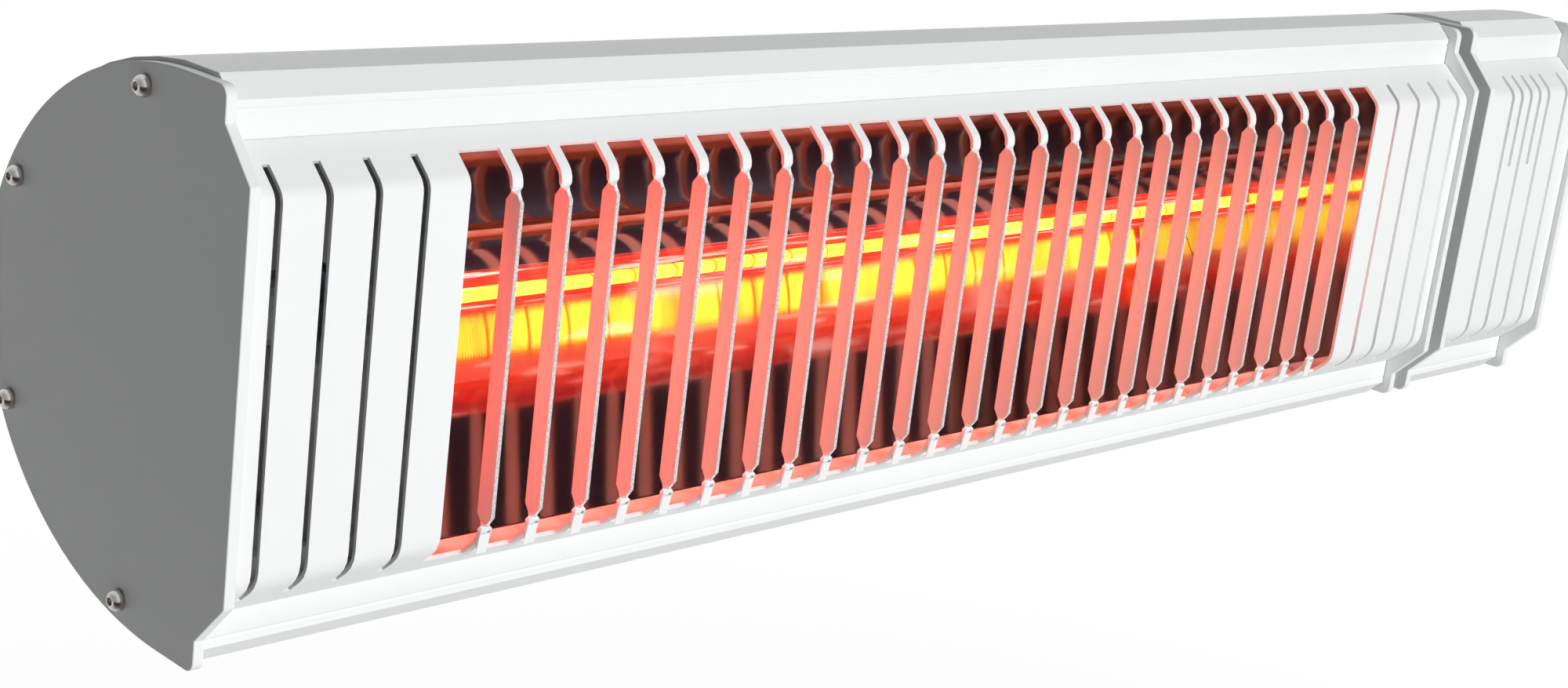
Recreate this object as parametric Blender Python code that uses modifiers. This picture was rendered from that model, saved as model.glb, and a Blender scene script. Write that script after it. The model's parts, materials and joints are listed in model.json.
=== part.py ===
"""Infrared patio heater: a quartz lamp behind a grille of twisted bars, a control module and a tilting mount."""

from math import acos, atan2, cos, hypot, pi, radians, sin, tan

import bmesh
import bpy
from mathutils import Matrix, Vector

# Lengths are in metres. +X runs along the heater, +Y goes to the wall and +Z up.
# A depth is measured from the front edge of the end plates, a height from the heater's middle plane.
# The origin is on the wall, behind the middle of the main heater.

CLEARANCE = 0.0003

# End plates, cut from thick sheet
PLATE_THICKNESS = 0.0032
PLATE_HALF_HEIGHT = 0.0755
PLATE_FRONT_DROP = 0.0220
PLATE_FRONT_CORNER = 0.0012
PLATE_CHAMFER_DEPTH = 0.0121
PLATE_CHAMFER_DROP = 0.0091
PLATE_CHAMFER_CORNER = 0.0008
PLATE_CORNER = 0.0034
ROOF_DEPTH = 0.0298
BACK_REACH = 0.0931

# Extruded shells
SHELL_RISE = 0.0011
SHELL_WALL = 0.0020
SHELL_CREASE = 0.0368
LIP_FACE = 0.0157
LIP_CHAMFER = 0.0056
GROOVE_DROP = 0.0069
GROOVE_WIDTH = 0.0011
GROOVE_DEPTH = 0.0008
LAND_HALF = 0.0150
LAND_RISE = 0.0012
PORT_INSET = 0.0060
PORT_ANGLES = (78.2, 26.6)
PORT_BOSS = 0.0056

# Folded front sheets
SHEET = 0.0012
SHEET_FACE = 0.0025
CREASE_DROP = 0.02515
FOLD_DROP = 0.01425
FOLD_DEPTH = 0.0149
RETURN_DEPTH = 0.0275
UPPER_BEND = 0.0050
LOWER_BEND = 0.0085
FOLD_BEND = 0.0005
SLOT_WIDTH = 0.0022
SLOT_PITCH = 0.01466
SLOT_COUNT = 4
SLOT_END_DROP = 0.0195

# Window with its twisted bars
BAR_COUNT = 25
BAR_PITCH = 0.01662
BAR_MARGIN = 0.0153
SIDE_PANEL = 0.0680
FIRST_SLOT = 0.0101
STRIP_WIDTH = 0.0035
NECK_WIDTH = 0.0023
BLADE_WIDTH = 0.0060
NECK_INSET = 0.0039
NECK_SPREAD = 1.3
NECK_RUN = 0.0009
BLADE_SHOULDER = 0.0030

# Control module
MODULE_GAP = 0.0092
CONTROL_LENGTH = 0.0824
CONTROL_FIRST_SLOT = 0.0239
SHORT_SLOT_END = 0.0200

# Reflector and its end cheeks
REFLECTOR_SHEET = 0.0008
REFLECTOR_FOCUS = 0.0165
REFLECTOR_INSET = 0.0359
REFLECTOR_GAP = 0.0030
CHEEK_SHEET = 0.0012
CHEEK_INSET = 0.0040
CHEEK_PLAY = 0.0010

# Lamp
LAMP_DEPTH = 0.0605
LAMP_RADIUS = 0.0060
LAMP_BORE = 0.0050
LAMP_OVERHANG = 0.0140
FILAMENT_RADIUS = 0.0016
SUPPORT_RADIUS = 0.0047
SUPPORT_WIDTH = 0.0008
SUPPORT_COUNT = 9
BASE_RADIUS = 0.0080
BASE_LENGTH = 0.0240
BASE_SOCKET = 0.0110
BASE_EDGE = 0.0010
COLLAR_WALL = 0.0012
COLLAR_LENGTH = 0.0080
COLLAR_FLANGE = 0.0150
LEAD_RADIUS = 0.0015
LEAD_INSET = 0.0279
LEAD_HOLE = 0.0030
LEAD_BEND = 0.0060
LEAD_STUB = 0.0010
LEAD_RISE = 0.0050
LEAD_PLAY = 0.0040

# Plate screws, M3 button heads
SCREW_RADIUS = 0.0015
SCREW_LENGTH = 0.0100
SCREW_HEAD = 0.0030
SCREW_HEAD_HEIGHT = 0.0027
SCREW_SOCKET = 0.0012
PORT_HOLE = 0.0018

# Link between the two modules
LINK_DEPTH = 0.0600
LINK_HEIGHT = 0.0350
LINK_RADIUS = 0.0070
LINK_BORE = 0.0052
LINK_COLLAR = 0.0105
LINK_REACH = 0.0070
LINK_NUT_RADIUS = 0.0105
LINK_NUT_WIDTH = 0.0040
LINK_CABLE_RADIUS = 0.0030
LINK_CABLE_DROP = 0.0040
LINK_CABLE_RUN = 0.0150

# Board and what it carries
BOARD_DEPTH = 0.0700
BOARD_SHEET = 0.0016
BOARD_LENGTH = 0.0600
GUIDE_WALL = 0.0015
GUIDE_REACH = 0.0080
TERMINAL_SIZE = (0.0140, 0.0160, 0.0240)
TERMINAL_BASE = 0.0140
TERMINAL_LEDGE = 0.0040
TERMINAL_EDGE = 0.0008
TERMINAL_WELL = 0.0020
TERMINAL_WELL_DEPTH = 0.0030
TERMINAL_WELL_INSET = 0.0060
TERMINAL_SETBACK = 0.0160
SINK_SIZE = (0.0360, 0.0220, 0.0300)
SINK_FINS = 6
SINK_FIN = 0.0018
SINK_ROOT = 0.0040
PART_GAP = 0.0060
PART_INSET = 0.0080
RELAY_SIZE = (0.0190, 0.0155, 0.0155)
CAPACITOR_RADIUS = 0.0060
CAPACITOR_LENGTH = 0.0200
CAPACITOR_EDGE = 0.0008

# Cable gland on the control module's back
GLAND_THREAD = 0.0080
GLAND_FLANGE = 0.0120
GLAND_DOME = 0.0100
GLAND_BORE = 0.0040
GLAND_LENGTH = 0.0260
GLAND_NUT_WIDTH = 0.0040
GLAND_REACH = 0.0030

# Wall mount with its tilt joint
PIVOT_REACH = 0.0210
WALL_REACH = 0.0380
BRACKET_SHEET = 0.0030
BRACKET_HALF_WIDTH = 0.0450
BRACKET_HALF_HEIGHT = 0.0400
BRACKET_CORNER = 0.0050
EAR_SPAN = 0.0300
EAR_ROOT = 0.0280
EAR_RADIUS = 0.0130
SHOE_BASE = 0.0040
SHOE_HALF_HEIGHT = 0.0140
SHOE_CORNER = 0.0030
LUG_INSET = 0.0010
LUG_SHEET = 0.0040
LUG_RADIUS = 0.0110
WASHER_SHEET = 0.0010
PIVOT_RADIUS = 0.0030
PIVOT_HEX = 0.0058
PIVOT_HEAD = 0.0040
PIVOT_NUT = 0.0050
PIVOT_END = 0.0020
PIVOT_WASHER = 0.0075
WALL_SLOT_RADIUS = 0.0035
WALL_SLOT_LENGTH = 0.0120
WALL_SLOT_REACH = 0.0330
WALL_SLOT_RISE = 0.0260
SHOE_BOLT_RADIUS = 0.0025
SHOE_BOLT_HEAD = 0.0042
SHOE_BOLT_HEAD_HEIGHT = 0.0045
SHOE_BOLT_REACH = 0.0110

# Sizes that follow from those above
WINDOW_LENGTH = (BAR_COUNT - 1) * BAR_PITCH + 2 * BAR_MARGIN
MAIN_LENGTH = WINDOW_LENGTH + 2 * SIDE_PANEL
SHELL_HALF = PLATE_HALF_HEIGHT + SHELL_RISE
GROOVE_HEIGHT = PLATE_HALF_HEIGHT - GROOVE_DROP
SHEET_CREASE = PLATE_HALF_HEIGHT - CREASE_DROP
FOLD_HEIGHT = PLATE_HALF_HEIGHT - FOLD_DROP
SLOT_END = PLATE_HALF_HEIGHT - SLOT_END_DROP
REFLECTOR_VERTEX = ROOF_DEPTH + BACK_REACH - REFLECTOR_INSET
REFLECTOR_HALF = 2 * (REFLECTOR_FOCUS * (REFLECTOR_VERTEX - RETURN_DEPTH - REFLECTOR_GAP)) ** 0.5
CHEEK_STEP = RETURN_DEPTH + CHEEK_PLAY
LEAD_DEPTH = ROOF_DEPTH + BACK_REACH - LEAD_INSET
SHELL_BACK = ROOF_DEPTH + BACK_REACH + SHELL_RISE
LAND_DEPTH = SHELL_BACK + LAND_RISE
SHOE_FACE = LAND_DEPTH + CLEARANCE
PIVOT_DEPTH = LAND_DEPTH + PIVOT_REACH
WALL_DEPTH = PIVOT_DEPTH + WALL_REACH
MAIN_LEFT = -MAIN_LENGTH / 2
MAIN_RIGHT = MAIN_LENGTH / 2
CONTROL_LEFT = MAIN_RIGHT + MODULE_GAP
CONTROL_RIGHT = CONTROL_LEFT + CONTROL_LENGTH
WINDOW_LEFT = MAIN_LEFT + SIDE_PANEL
WINDOW_RIGHT = MAIN_RIGHT - SIDE_PANEL
CHEEK_LEFT = WINDOW_LEFT - CHEEK_INSET
CHEEK_RIGHT = WINDOW_RIGHT + CHEEK_INSET

ARC_STEPS = 24
BEND_STEPS = 3
REFLECTOR_STEPS = 28

parts = bpy.data.collections.new("infrared_patio_heater")
cutters = bpy.data.collections.new("cutters")


def clear_scene():
    for obj in list(bpy.data.objects):
        bpy.data.objects.remove(obj, do_unlink=True)
    for collection in (parts, cutters):
        bpy.context.scene.collection.children.link(collection)
    cutters.hide_render = True


def material(name, colour, roughness, metallic=0.0, glow=0.0):
    made = bpy.data.materials.new(name)
    made.use_nodes = True
    made.diffuse_color = (*colour, 1.0)
    shader = made.node_tree.nodes["Principled BSDF"]
    shader.inputs["Base Color"].default_value = (*colour, 1.0)
    shader.inputs["Roughness"].default_value = roughness
    shader.inputs["Metallic"].default_value = metallic
    shader.inputs["Emission Color"].default_value = (*colour, 1.0)
    shader.inputs["Emission Strength"].default_value = glow
    return made


# Outlines are lists of (depth, height) pairs


def fillet(corners, steps=BEND_STEPS):
    """Turns (a, b, radius) corners of an open line into points, with an arc where the radius isn't 0."""
    points = []
    for i, (a, b, radius) in enumerate(corners):
        here = Vector((a, b))
        if radius == 0 or i in (0, len(corners) - 1):
            points.append((a, b))
            continue
        before = (Vector(corners[i - 1][:2]) - here).normalized()
        after = (Vector(corners[i + 1][:2]) - here).normalized()
        half = before.angle(after) / 2
        centre = here + (before + after).normalized() * radius / sin(half)
        start = here + before * radius / tan(half) - centre
        sweep = start.angle_signed(here + after * radius / tan(half) - centre)
        for k in range(steps + 1):
            turn = Matrix.Rotation(-sweep * k / steps, 2)
            points.append(tuple(centre + turn @ start))
    return points


def offset(points, distance):
    """Moves an open line sideways, to the right of its direction, keeping its corners sharp."""
    line = [Vector(point) for point in points]
    sides = []
    for first, second in zip(line, line[1:]):
        run = (second - first).normalized()
        sides.append(Vector((run.y, -run.x)))
    moved = [line[0] + sides[0] * distance]
    for here, before, after in zip(line[1:-1], sides, sides[1:]):
        moved.append(here + (before + after) * distance / (1 + before.dot(after)))
    moved.append(line[-1] + sides[-1] * distance)
    return [(point.x, point.y) for point in moved]


def mirrored(upper):
    return upper + [(depth, -height) for depth, height in reversed(upper)]


def circle(depth, height, radius, sides=10):
    return [
        (depth + radius * cos(2 * pi * k / sides), height + radius * sin(2 * pi * k / sides))
        for k in range(sides)
    ]


def rectangle(a0, a1, b0, b1):
    return [(a0, b0), (a1, b0), (a1, b1), (a0, b1)]


def rounded_back(half_height, reach, start=ROOF_DEPTH):
    """Half of the elliptical back, from the roof down to just before the plane of symmetry."""
    steps = ARC_STEPS // 2
    first = acos((start - ROOF_DEPTH) / reach)
    angles = [first * (1 - k / steps) for k in range(steps)]
    return [(ROOF_DEPTH + reach * cos(a), half_height * sin(a)) for a in angles]


def plate_outline():
    front = fillet(
        [
            (0, 0, 0),
            (0, PLATE_HALF_HEIGHT - PLATE_FRONT_DROP, PLATE_FRONT_CORNER),
            (PLATE_CHAMFER_DEPTH, PLATE_HALF_HEIGHT - PLATE_CHAMFER_DROP, PLATE_CHAMFER_CORNER),
            (PLATE_CHAMFER_DEPTH, PLATE_HALF_HEIGHT, PLATE_CORNER),
            (ROOF_DEPTH, PLATE_HALF_HEIGHT, 0),
        ]
    )[1:-1]
    upper = front + rounded_back(PLATE_HALF_HEIGHT, BACK_REACH)
    back = [(ROOF_DEPTH + BACK_REACH, 0)]
    return upper + back + [(depth, -height) for depth, height in reversed(upper)]


def ports():
    """The four screw positions, on an ellipse inside the back: two below the roofs and two behind."""
    reach, half = BACK_REACH - PORT_INSET, PLATE_HALF_HEIGHT - PORT_INSET
    angles = [radians(angle) for angle in PORT_ANGLES]
    return mirrored([(ROOF_DEPTH + reach * cos(angle), half * sin(angle)) for angle in angles])


def lip_height():
    return FOLD_HEIGHT + CLEARANCE


def shell_line(groove):
    """The shell's outer line, from the upper lip's edge round the back to the lower one's."""
    upper = [(LIP_FACE, lip_height())]
    if groove:
        upper += [
            (LIP_FACE, GROOVE_HEIGHT - GROOVE_WIDTH / 2),
            (LIP_FACE + GROOVE_DEPTH, GROOVE_HEIGHT),
            (LIP_FACE, GROOVE_HEIGHT + GROOVE_WIDTH / 2),
        ]
    upper += [(LIP_FACE, SHELL_HALF - LIP_CHAMFER), (LIP_FACE + LIP_CHAMFER, SHELL_HALF)]
    upper += [(SHELL_CREASE, SHELL_HALF)]
    upper += rounded_back(SHELL_HALF, BACK_REACH + SHELL_RISE, SHELL_CREASE)[1:]
    back = [(SHELL_BACK, 0)]
    return upper + back + [(depth, -height) for depth, height in reversed(upper)]


def sheet_line(inset):
    """The front sheet's sharp corners, moved in from its outer face."""
    upper = [(RETURN_DEPTH, FOLD_HEIGHT), (FOLD_DEPTH, FOLD_HEIGHT), (SHEET_FACE, SHEET_CREASE)]
    return offset(mirrored(upper), -inset)


# Solids


def put_in(collection, obj):
    collection.objects.link(obj)
    return obj


def mesh_from_curve(curve_object, name, finish, collection):
    """Makes the evaluated curve a closed mesh, so that it can be cut and joined."""
    put_in(collection, curve_object)
    graph = bpy.context.evaluated_depsgraph_get()
    mesh = bpy.data.meshes.new_from_object(curve_object.evaluated_get(graph))
    place = curve_object.matrix_world.copy()
    bpy.data.objects.remove(curve_object, do_unlink=True)
    work = bmesh.new()
    work.from_mesh(mesh)
    bmesh.ops.remove_doubles(work, verts=work.verts, dist=1e-6)
    bmesh.ops.recalc_face_normals(work, faces=work.faces)
    work.to_mesh(mesh)
    work.free()
    mesh.name = name
    mesh.materials.clear()
    mesh.materials.append(finish)
    made = bpy.data.objects.new(name, mesh)
    made.matrix_world = place
    return put_in(collection, made)


TURNS = {"X": (pi / 2, 0, pi / 2), "Y": (pi / 2, 0, 0), "Z": (0, 0, 0)}


def extruded(name, loops, axis, low, high, finish, collection=parts):
    """A flat outline, with any holes, pulled along an axis from low to high.

    Along X the outline is (depth, height), along Y it is (x, height) and along Z (x, depth).
    """
    curve = bpy.data.curves.new(name, "CURVE")
    curve.dimensions = "2D"
    curve.fill_mode = "BOTH"
    curve.extrude = (high - low) / 2
    for loop in loops:
        spline = curve.splines.new("POLY")
        spline.points.add(len(loop) - 1)
        for point, (a, b) in zip(spline.points, loop):
            point.co = (a, b, 0, 1)
        spline.use_cyclic_u = True
    flat = bpy.data.objects.new(name, curve)
    flat.rotation_euler = TURNS[axis]
    middle = (low + high) / 2
    flat.location = {
        "X": (middle, -WALL_DEPTH, 0),
        "Y": (0, middle - WALL_DEPTH, 0),
        "Z": (0, -WALL_DEPTH, middle),
    }[axis]
    return mesh_from_curve(flat, name, finish, collection)


def tube(name, points, radius, finish, collection=parts, sides=2):
    """A round wire through (x, depth, height) points, with filled ends."""
    curve = bpy.data.curves.new(name, "CURVE")
    curve.dimensions = "3D"
    curve.bevel_depth = radius
    curve.bevel_resolution = sides
    curve.use_fill_caps = True
    spline = curve.splines.new("POLY")
    spline.points.add(len(points) - 1)
    for point, (x, depth, height) in zip(spline.points, points):
        point.co = (x, depth, height, 1)
    wire = bpy.data.objects.new(name, curve)
    wire.location = (0, -WALL_DEPTH, 0)
    return mesh_from_curve(wire, name, finish, collection)


def turned(name, profile, place, axis, finish, steps=12, collection=parts):
    """A profile of (radius, run) pairs turned about an axis that starts at place and points along axis."""
    mesh = bpy.data.meshes.new(name)
    points = [(radius, 0, run) for radius, run in profile]
    mesh.from_pydata(points, [(k, k + 1) for k in range(len(points) - 1)], [])
    mesh.materials.append(finish)
    obj = bpy.data.objects.new(name, mesh)
    x, depth, height = place
    obj.location = (x, depth - WALL_DEPTH, height)
    obj.rotation_mode = "QUATERNION"
    obj.rotation_quaternion = Vector((0, 0, 1)).rotation_difference(Vector(axis))
    screw = obj.modifiers.new("Turn", "SCREW")
    screw.steps = steps
    screw.render_steps = steps
    screw.use_merge_vertices = True
    screw.merge_threshold = 0.00001
    return put_in(collection, obj)


def box(name, low, high, finish, collection=parts, bevel=0.0):
    """A block between two (x, depth, height) corners."""
    work = bmesh.new()
    bmesh.ops.create_cube(work, size=1)
    size = [b - a for a, b in zip(low, high)]
    middle = [(a + b) / 2 for a, b in zip(low, high)]
    bmesh.ops.scale(work, vec=size, verts=work.verts)
    mesh = bpy.data.meshes.new(name)
    work.to_mesh(mesh)
    work.free()
    mesh.materials.append(finish)
    obj = bpy.data.objects.new(name, mesh)
    obj.location = (middle[0], middle[1] - WALL_DEPTH, middle[2])
    if bevel:
        edge = obj.modifiers.new("Edges", "BEVEL")
        edge.width = bevel
        edge.segments = 1
    return put_in(collection, obj)


def boolean(obj, other, operation):
    step = obj.modifiers.new(f"{operation.title()} {other.name}", "BOOLEAN")
    step.operation = operation
    step.object = other
    step.solver = "EXACT"


def joined(obj, *others):
    for other in others:
        boolean(obj, other, "UNION")


def cut(obj, *others):
    for other in others:
        boolean(obj, other, "DIFFERENCE")


def hidden(obj):
    obj.hide_render = True
    obj.display_type = "WIRE"
    return obj


def helper(make, *arguments, **settings):
    """A cutter or a piece to join, kept out of the model itself."""
    return hidden(make(*arguments, collection=cutters, **settings))


def smooth(obj, degrees=35):
    obj.data.shade_smooth()
    obj.data.set_sharp_from_angle(angle=radians(degrees))
    return obj


# Casings


def make_plate(name, left, finish, holes=()):
    loops = [plate_outline()]
    loops += [circle(depth, height, SCREW_RADIUS + CLEARANCE, 8) for depth, height in ports()]
    loops += [circle(depth, height, radius, 12) for depth, height, radius in holes]
    return smooth(extruded(name, loops, "X", left, left + PLATE_THICKNESS, finish))


def make_shell(name, left, right, finish):
    """An extruded casing: a wall with grooved lips, a thick land at the back and four screw ports."""
    outer = shell_line(groove=True)
    inner = offset(shell_line(groove=False), SHELL_WALL)
    inner[0] = (inner[0][0], lip_height())
    inner[-1] = (inner[-1][0], -lip_height())
    shell = smooth(extruded(name, [outer + inner[::-1]], "X", left, right, finish), 25)
    root = SHELL_BACK - SHELL_WALL
    land = [(root, -LAND_HALF), (LAND_DEPTH, -LAND_HALF), (LAND_DEPTH, LAND_HALF), (root, LAND_HALF)]
    joined(shell, helper(extruded, f"{name}_land", [land], "X", left, right, finish))
    for k, (depth, height) in enumerate(ports(), 1):
        port = circle(depth, height, PORT_BOSS)
        joined(shell, helper(extruded, f"{name}_port_{k}", [port], "X", left, right, finish))
    for k, (depth, height) in enumerate(ports(), 1):
        hole = circle(depth, height, PORT_HOLE, 8)
        cut(shell, helper(extruded, f"{name}_hole_{k}", [hole], "X", left - 1e-3, right + 1e-3, finish))
    return shell


# Folded sheets


def sheet_stations(short_slots):
    """The sheet's middle line as points, and the numbers of those where slots, bends and bars begin and end."""
    top_return, top_fold, top_crease, low_crease, low_fold, low_return = sheet_line(SHEET / 2)
    slope = (top_fold[0] - top_crease[0]) / (top_fold[1] - top_crease[1])
    slot_depth = top_crease[0] + slope * (SLOT_END - top_crease[1])
    corners = [
        (*top_return, 0),
        (*top_fold, FOLD_BEND),
        (slot_depth, SLOT_END, 0),
        (*top_crease, UPPER_BEND),
        (top_crease[0], SHORT_SLOT_END, 0),
        (*low_crease, LOWER_BEND),
        (slot_depth, -SLOT_END, 0),
        (*low_fold, FOLD_BEND),
        (*low_return, 0),
    ]
    if not short_slots:
        del corners[4]
    line = fillet(corners)
    marks = {
        "slot_top": line.index((slot_depth, SLOT_END)),
        "slot_bottom": line.index((slot_depth, -SLOT_END)),
    }
    marks["bend_top"] = marks["slot_top"] + BEND_STEPS + 1
    marks["bend_bottom"] = marks["slot_bottom"] - BEND_STEPS - 1
    if short_slots:
        marks["slot_short"] = marks["bend_top"] + 1
    return line, marks


def add_bar(work, line, marks, ends, x):
    """One bar: its strips meet the sheet at both bends, and between two necks it stands edge-on as a blade."""
    depth = line[marks["bend_top"]][0]
    top = SHEET_CREASE - NECK_INSET
    upper = [
        (top + NECK_RUN, STRIP_WIDTH, 0),
        (top, NECK_WIDTH, 45),
        (top - NECK_RUN, NECK_WIDTH * NECK_SPREAD, 90),
        (top - BLADE_SHOULDER, BLADE_WIDTH, 90),
    ]
    lower = [(-height, width, turn) for height, width, turn in reversed(upper)]
    before = ends[0]
    for height, width, turn in upper + lower:
        across = cos(radians(turn)) * width / 2
        forward = sin(radians(turn)) * width / 2
        pair = [
            work.verts.new((x - across, depth + forward, height)),
            work.verts.new((x + across, depth - forward, height)),
        ]
        work.faces.new((before[0], before[1], pair[1], pair[0]))
        before = pair
    work.faces.new((before[0], before[1], ends[1][1], ends[1][0]))


def make_front(name, left, right, slots, finish, window=None, bars=()):
    """A folded front sheet: slots are (x, top mark, bottom mark), window a pair of x and bars a list of x."""
    line, marks = sheet_stations(any("slot_short" in slot for slot in slots))
    top, bottom = marks["slot_top"], marks["slot_bottom"]
    gaps = [(x - SLOT_WIDTH / 2, x + SLOT_WIDTH / 2, marks[a], marks[b]) for x, a, b in slots]
    edges = {left, right}
    for low, high, _, _ in gaps:
        edges |= {low, high}
    if window:
        edges |= set(window)
    for x in bars:
        edges |= {x - STRIP_WIDTH / 2, x + STRIP_WIDTH / 2}
    columns = sorted(edges)
    work = bmesh.new()
    grid = {}

    def corner(column, row):
        key = (column, row)
        if key not in grid:
            grid[key] = work.verts.new((columns[column], *line[row]))
        return grid[key]

    last = len(columns) - 1
    for rows, slot_row in ((range(top), top), (range(bottom, len(line) - 1), bottom)):
        for row in rows:
            above = range(last + 1) if row == slot_row else (0, last)
            below = range(last + 1) if row + 1 == slot_row else (0, last)
            ring = [corner(k, row) for k in above] + [corner(k, row + 1) for k in reversed(below)]
            work.faces.new(ring)
    for k in range(last):
        middle = (columns[k] + columns[k + 1]) / 2
        is_bar = any(abs(middle - x) < STRIP_WIDTH / 2 for x in bars)
        in_window = window is not None and window[0] < middle < window[1]
        for row in range(top, bottom):
            if any(low < middle < high and a <= row < b for low, high, a, b in gaps):
                continue
            if in_window and not is_bar:
                continue
            if is_bar and marks["bend_top"] <= row < marks["bend_bottom"]:
                continue
            work.faces.new((corner(k, row), corner(k + 1, row), corner(k + 1, row + 1), corner(k, row + 1)))
        if is_bar:
            ends = [(corner(k, marks[end]), corner(k + 1, marks[end])) for end in ("bend_top", "bend_bottom")]
            add_bar(work, line, marks, ends, middle)
    bmesh.ops.recalc_face_normals(work, faces=work.faces)
    mesh = bpy.data.meshes.new(name)
    work.to_mesh(mesh)
    work.free()
    mesh.materials.append(finish)
    obj = bpy.data.objects.new(name, mesh)
    obj.location = (0, -WALL_DEPTH, 0)
    wall = obj.modifiers.new("Sheet", "SOLIDIFY")
    wall.thickness = SHEET
    wall.offset = 0
    wall.use_even_offset = True
    return put_in(parts, obj)


def make_main_front(finish):
    first = MAIN_LEFT + FIRST_SLOT
    left_slots = [first + k * SLOT_PITCH for k in range(SLOT_COUNT)]
    slots = [(x, "slot_top", "slot_bottom") for x in left_slots + [-x for x in left_slots]]
    bars = [WINDOW_LEFT + BAR_MARGIN + k * BAR_PITCH for k in range(BAR_COUNT)]
    left = MAIN_LEFT + PLATE_THICKNESS + CLEARANCE
    return make_front("front_grille", left, -left, slots, finish, (WINDOW_LEFT, WINDOW_RIGHT), bars)


def make_control_front(finish):
    first = CONTROL_LEFT + CONTROL_FIRST_SLOT
    slots = [(first + k * SLOT_PITCH, "slot_top", "slot_bottom") for k in range(SLOT_COUNT)]
    slots += [(first + (k + 0.5) * SLOT_PITCH, "slot_top", "slot_short") for k in range(2)]
    inset = PLATE_THICKNESS + CLEARANCE
    return make_front("control_front_panel", CONTROL_LEFT + inset, CONTROL_RIGHT - inset, slots, finish)


# Lamp chamber


def make_reflector(finish):
    """A parabolic trough whose rims lie just behind the front sheet's return flanges."""
    steps = REFLECTOR_STEPS
    heights = [REFLECTOR_HALF * (1 - 2 * k / steps) for k in range(steps + 1)]
    line = [(REFLECTOR_VERTEX - h * h / (4 * REFLECTOR_FOCUS), h) for h in heights]
    outer = offset(line, -REFLECTOR_SHEET)
    low = CHEEK_LEFT + CLEARANCE
    high = CHEEK_RIGHT - CLEARANCE
    return smooth(extruded("reflector", [line + outer[::-1]], "X", low, high, finish))


def cheek_outline():
    """The cheek fills the casing's inside, and steps back round the front sheet's return flanges."""
    gap = SHEET + CLEARANCE
    _, top_fold, top_crease, low_crease, low_fold, _ = sheet_line(gap)
    inner_bend = SHEET / 2 + CLEARANCE
    front = fillet(
        [
            (CHEEK_STEP, top_fold[1], 0),
            (*top_fold, 0),
            (*top_crease, UPPER_BEND - inner_bend),
            (*low_crease, LOWER_BEND - inner_bend),
            (*low_fold, 0),
            (CHEEK_STEP, low_fold[1], 0),
        ]
    )
    inside = offset(shell_line(groove=False), SHELL_WALL + CLEARANCE)
    half = len(inside) // 2
    upper = [(CHEEK_STEP, inside[3][1])] + inside[3:half]
    return front + [(depth, -height) for depth, height in upper] + [inside[half]] + upper[::-1]


def make_cheek(name, low, high, finish):
    lamp_hole = circle(LAMP_DEPTH, 0, LAMP_RADIUS + CLEARANCE, 18)
    lead_hole = circle(LEAD_DEPTH, 0, LEAD_HOLE, 10)
    cheek = extruded(name, [cheek_outline(), lamp_hole, lead_hole], "X", low, high, finish)
    for k, (depth, height) in enumerate(ports(), 1):
        port = circle(depth, height, PORT_BOSS + CLEARANCE)
        cut(cheek, helper(extruded, f"{name}_port_{k}", [port], "X", low - 1e-3, high + 1e-3, finish))
    return cheek


def make_lamp_tube(finish):
    low = CHEEK_LEFT - LAMP_OVERHANG
    high = CHEEK_RIGHT + LAMP_OVERHANG
    profile = [
        (LAMP_BORE, high - low),
        (LAMP_RADIUS, high - low),
        (LAMP_RADIUS, 0),
        (LAMP_BORE, 0),
        (LAMP_BORE, high - low),
    ]
    return smooth(turned("lamp_tube", profile, (low, LAMP_DEPTH, 0), (1, 0, 0), finish, 18))


def make_filament(finish):
    """The wound filament as a plain rod, with the discs that keep it in the middle of its tube."""
    low = CHEEK_LEFT - LAMP_OVERHANG + CLEARANCE
    length = CHEEK_RIGHT + LAMP_OVERHANG - CLEARANCE - low
    profile = [(0, length), (FILAMENT_RADIUS, length)]
    for k in range(SUPPORT_COUNT, 0, -1):
        run = length * (k - 0.5) / SUPPORT_COUNT
        upper, lower = run + SUPPORT_WIDTH / 2, run - SUPPORT_WIDTH / 2
        profile += [(FILAMENT_RADIUS, upper), (SUPPORT_RADIUS, upper)]
        profile += [(SUPPORT_RADIUS, lower), (FILAMENT_RADIUS, lower)]
    profile += [(FILAMENT_RADIUS, 0), (0, 0)]
    return turned("lamp_filament", profile, (low, LAMP_DEPTH, 0), (1, 0, 0), finish, 8)


def make_lamp_base(name, face, side, finish):
    """A ceramic cap over the lamp's end: face is where the cap starts, side the way that it points."""
    bore = LAMP_RADIUS + CLEARANCE
    floor = BASE_SOCKET + CLEARANCE
    profile = [
        (0, BASE_LENGTH),
        (BASE_RADIUS - BASE_EDGE, BASE_LENGTH),
        (BASE_RADIUS, BASE_LENGTH - BASE_EDGE),
        (BASE_RADIUS, 0),
        (bore, 0),
        (bore, floor),
        (0, floor),
    ]
    return smooth(turned(name, profile, (face, LAMP_DEPTH, 0), (side, 0, 0), finish, 12))


def make_lamp_holder(name, face, side, finish):
    """A flanged collar on the cheek that the ceramic cap sits in."""
    bore = BASE_RADIUS + CLEARANCE
    outer = bore + COLLAR_WALL
    profile = [
        (bore, COLLAR_LENGTH),
        (outer, COLLAR_LENGTH),
        (outer, COLLAR_WALL),
        (COLLAR_FLANGE, COLLAR_WALL),
        (COLLAR_FLANGE, 0),
        (bore, 0),
        (bore, COLLAR_LENGTH),
    ]
    return smooth(turned(name, profile, (face, LAMP_DEPTH, 0), (side, 0, 0), finish, 12))


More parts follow.
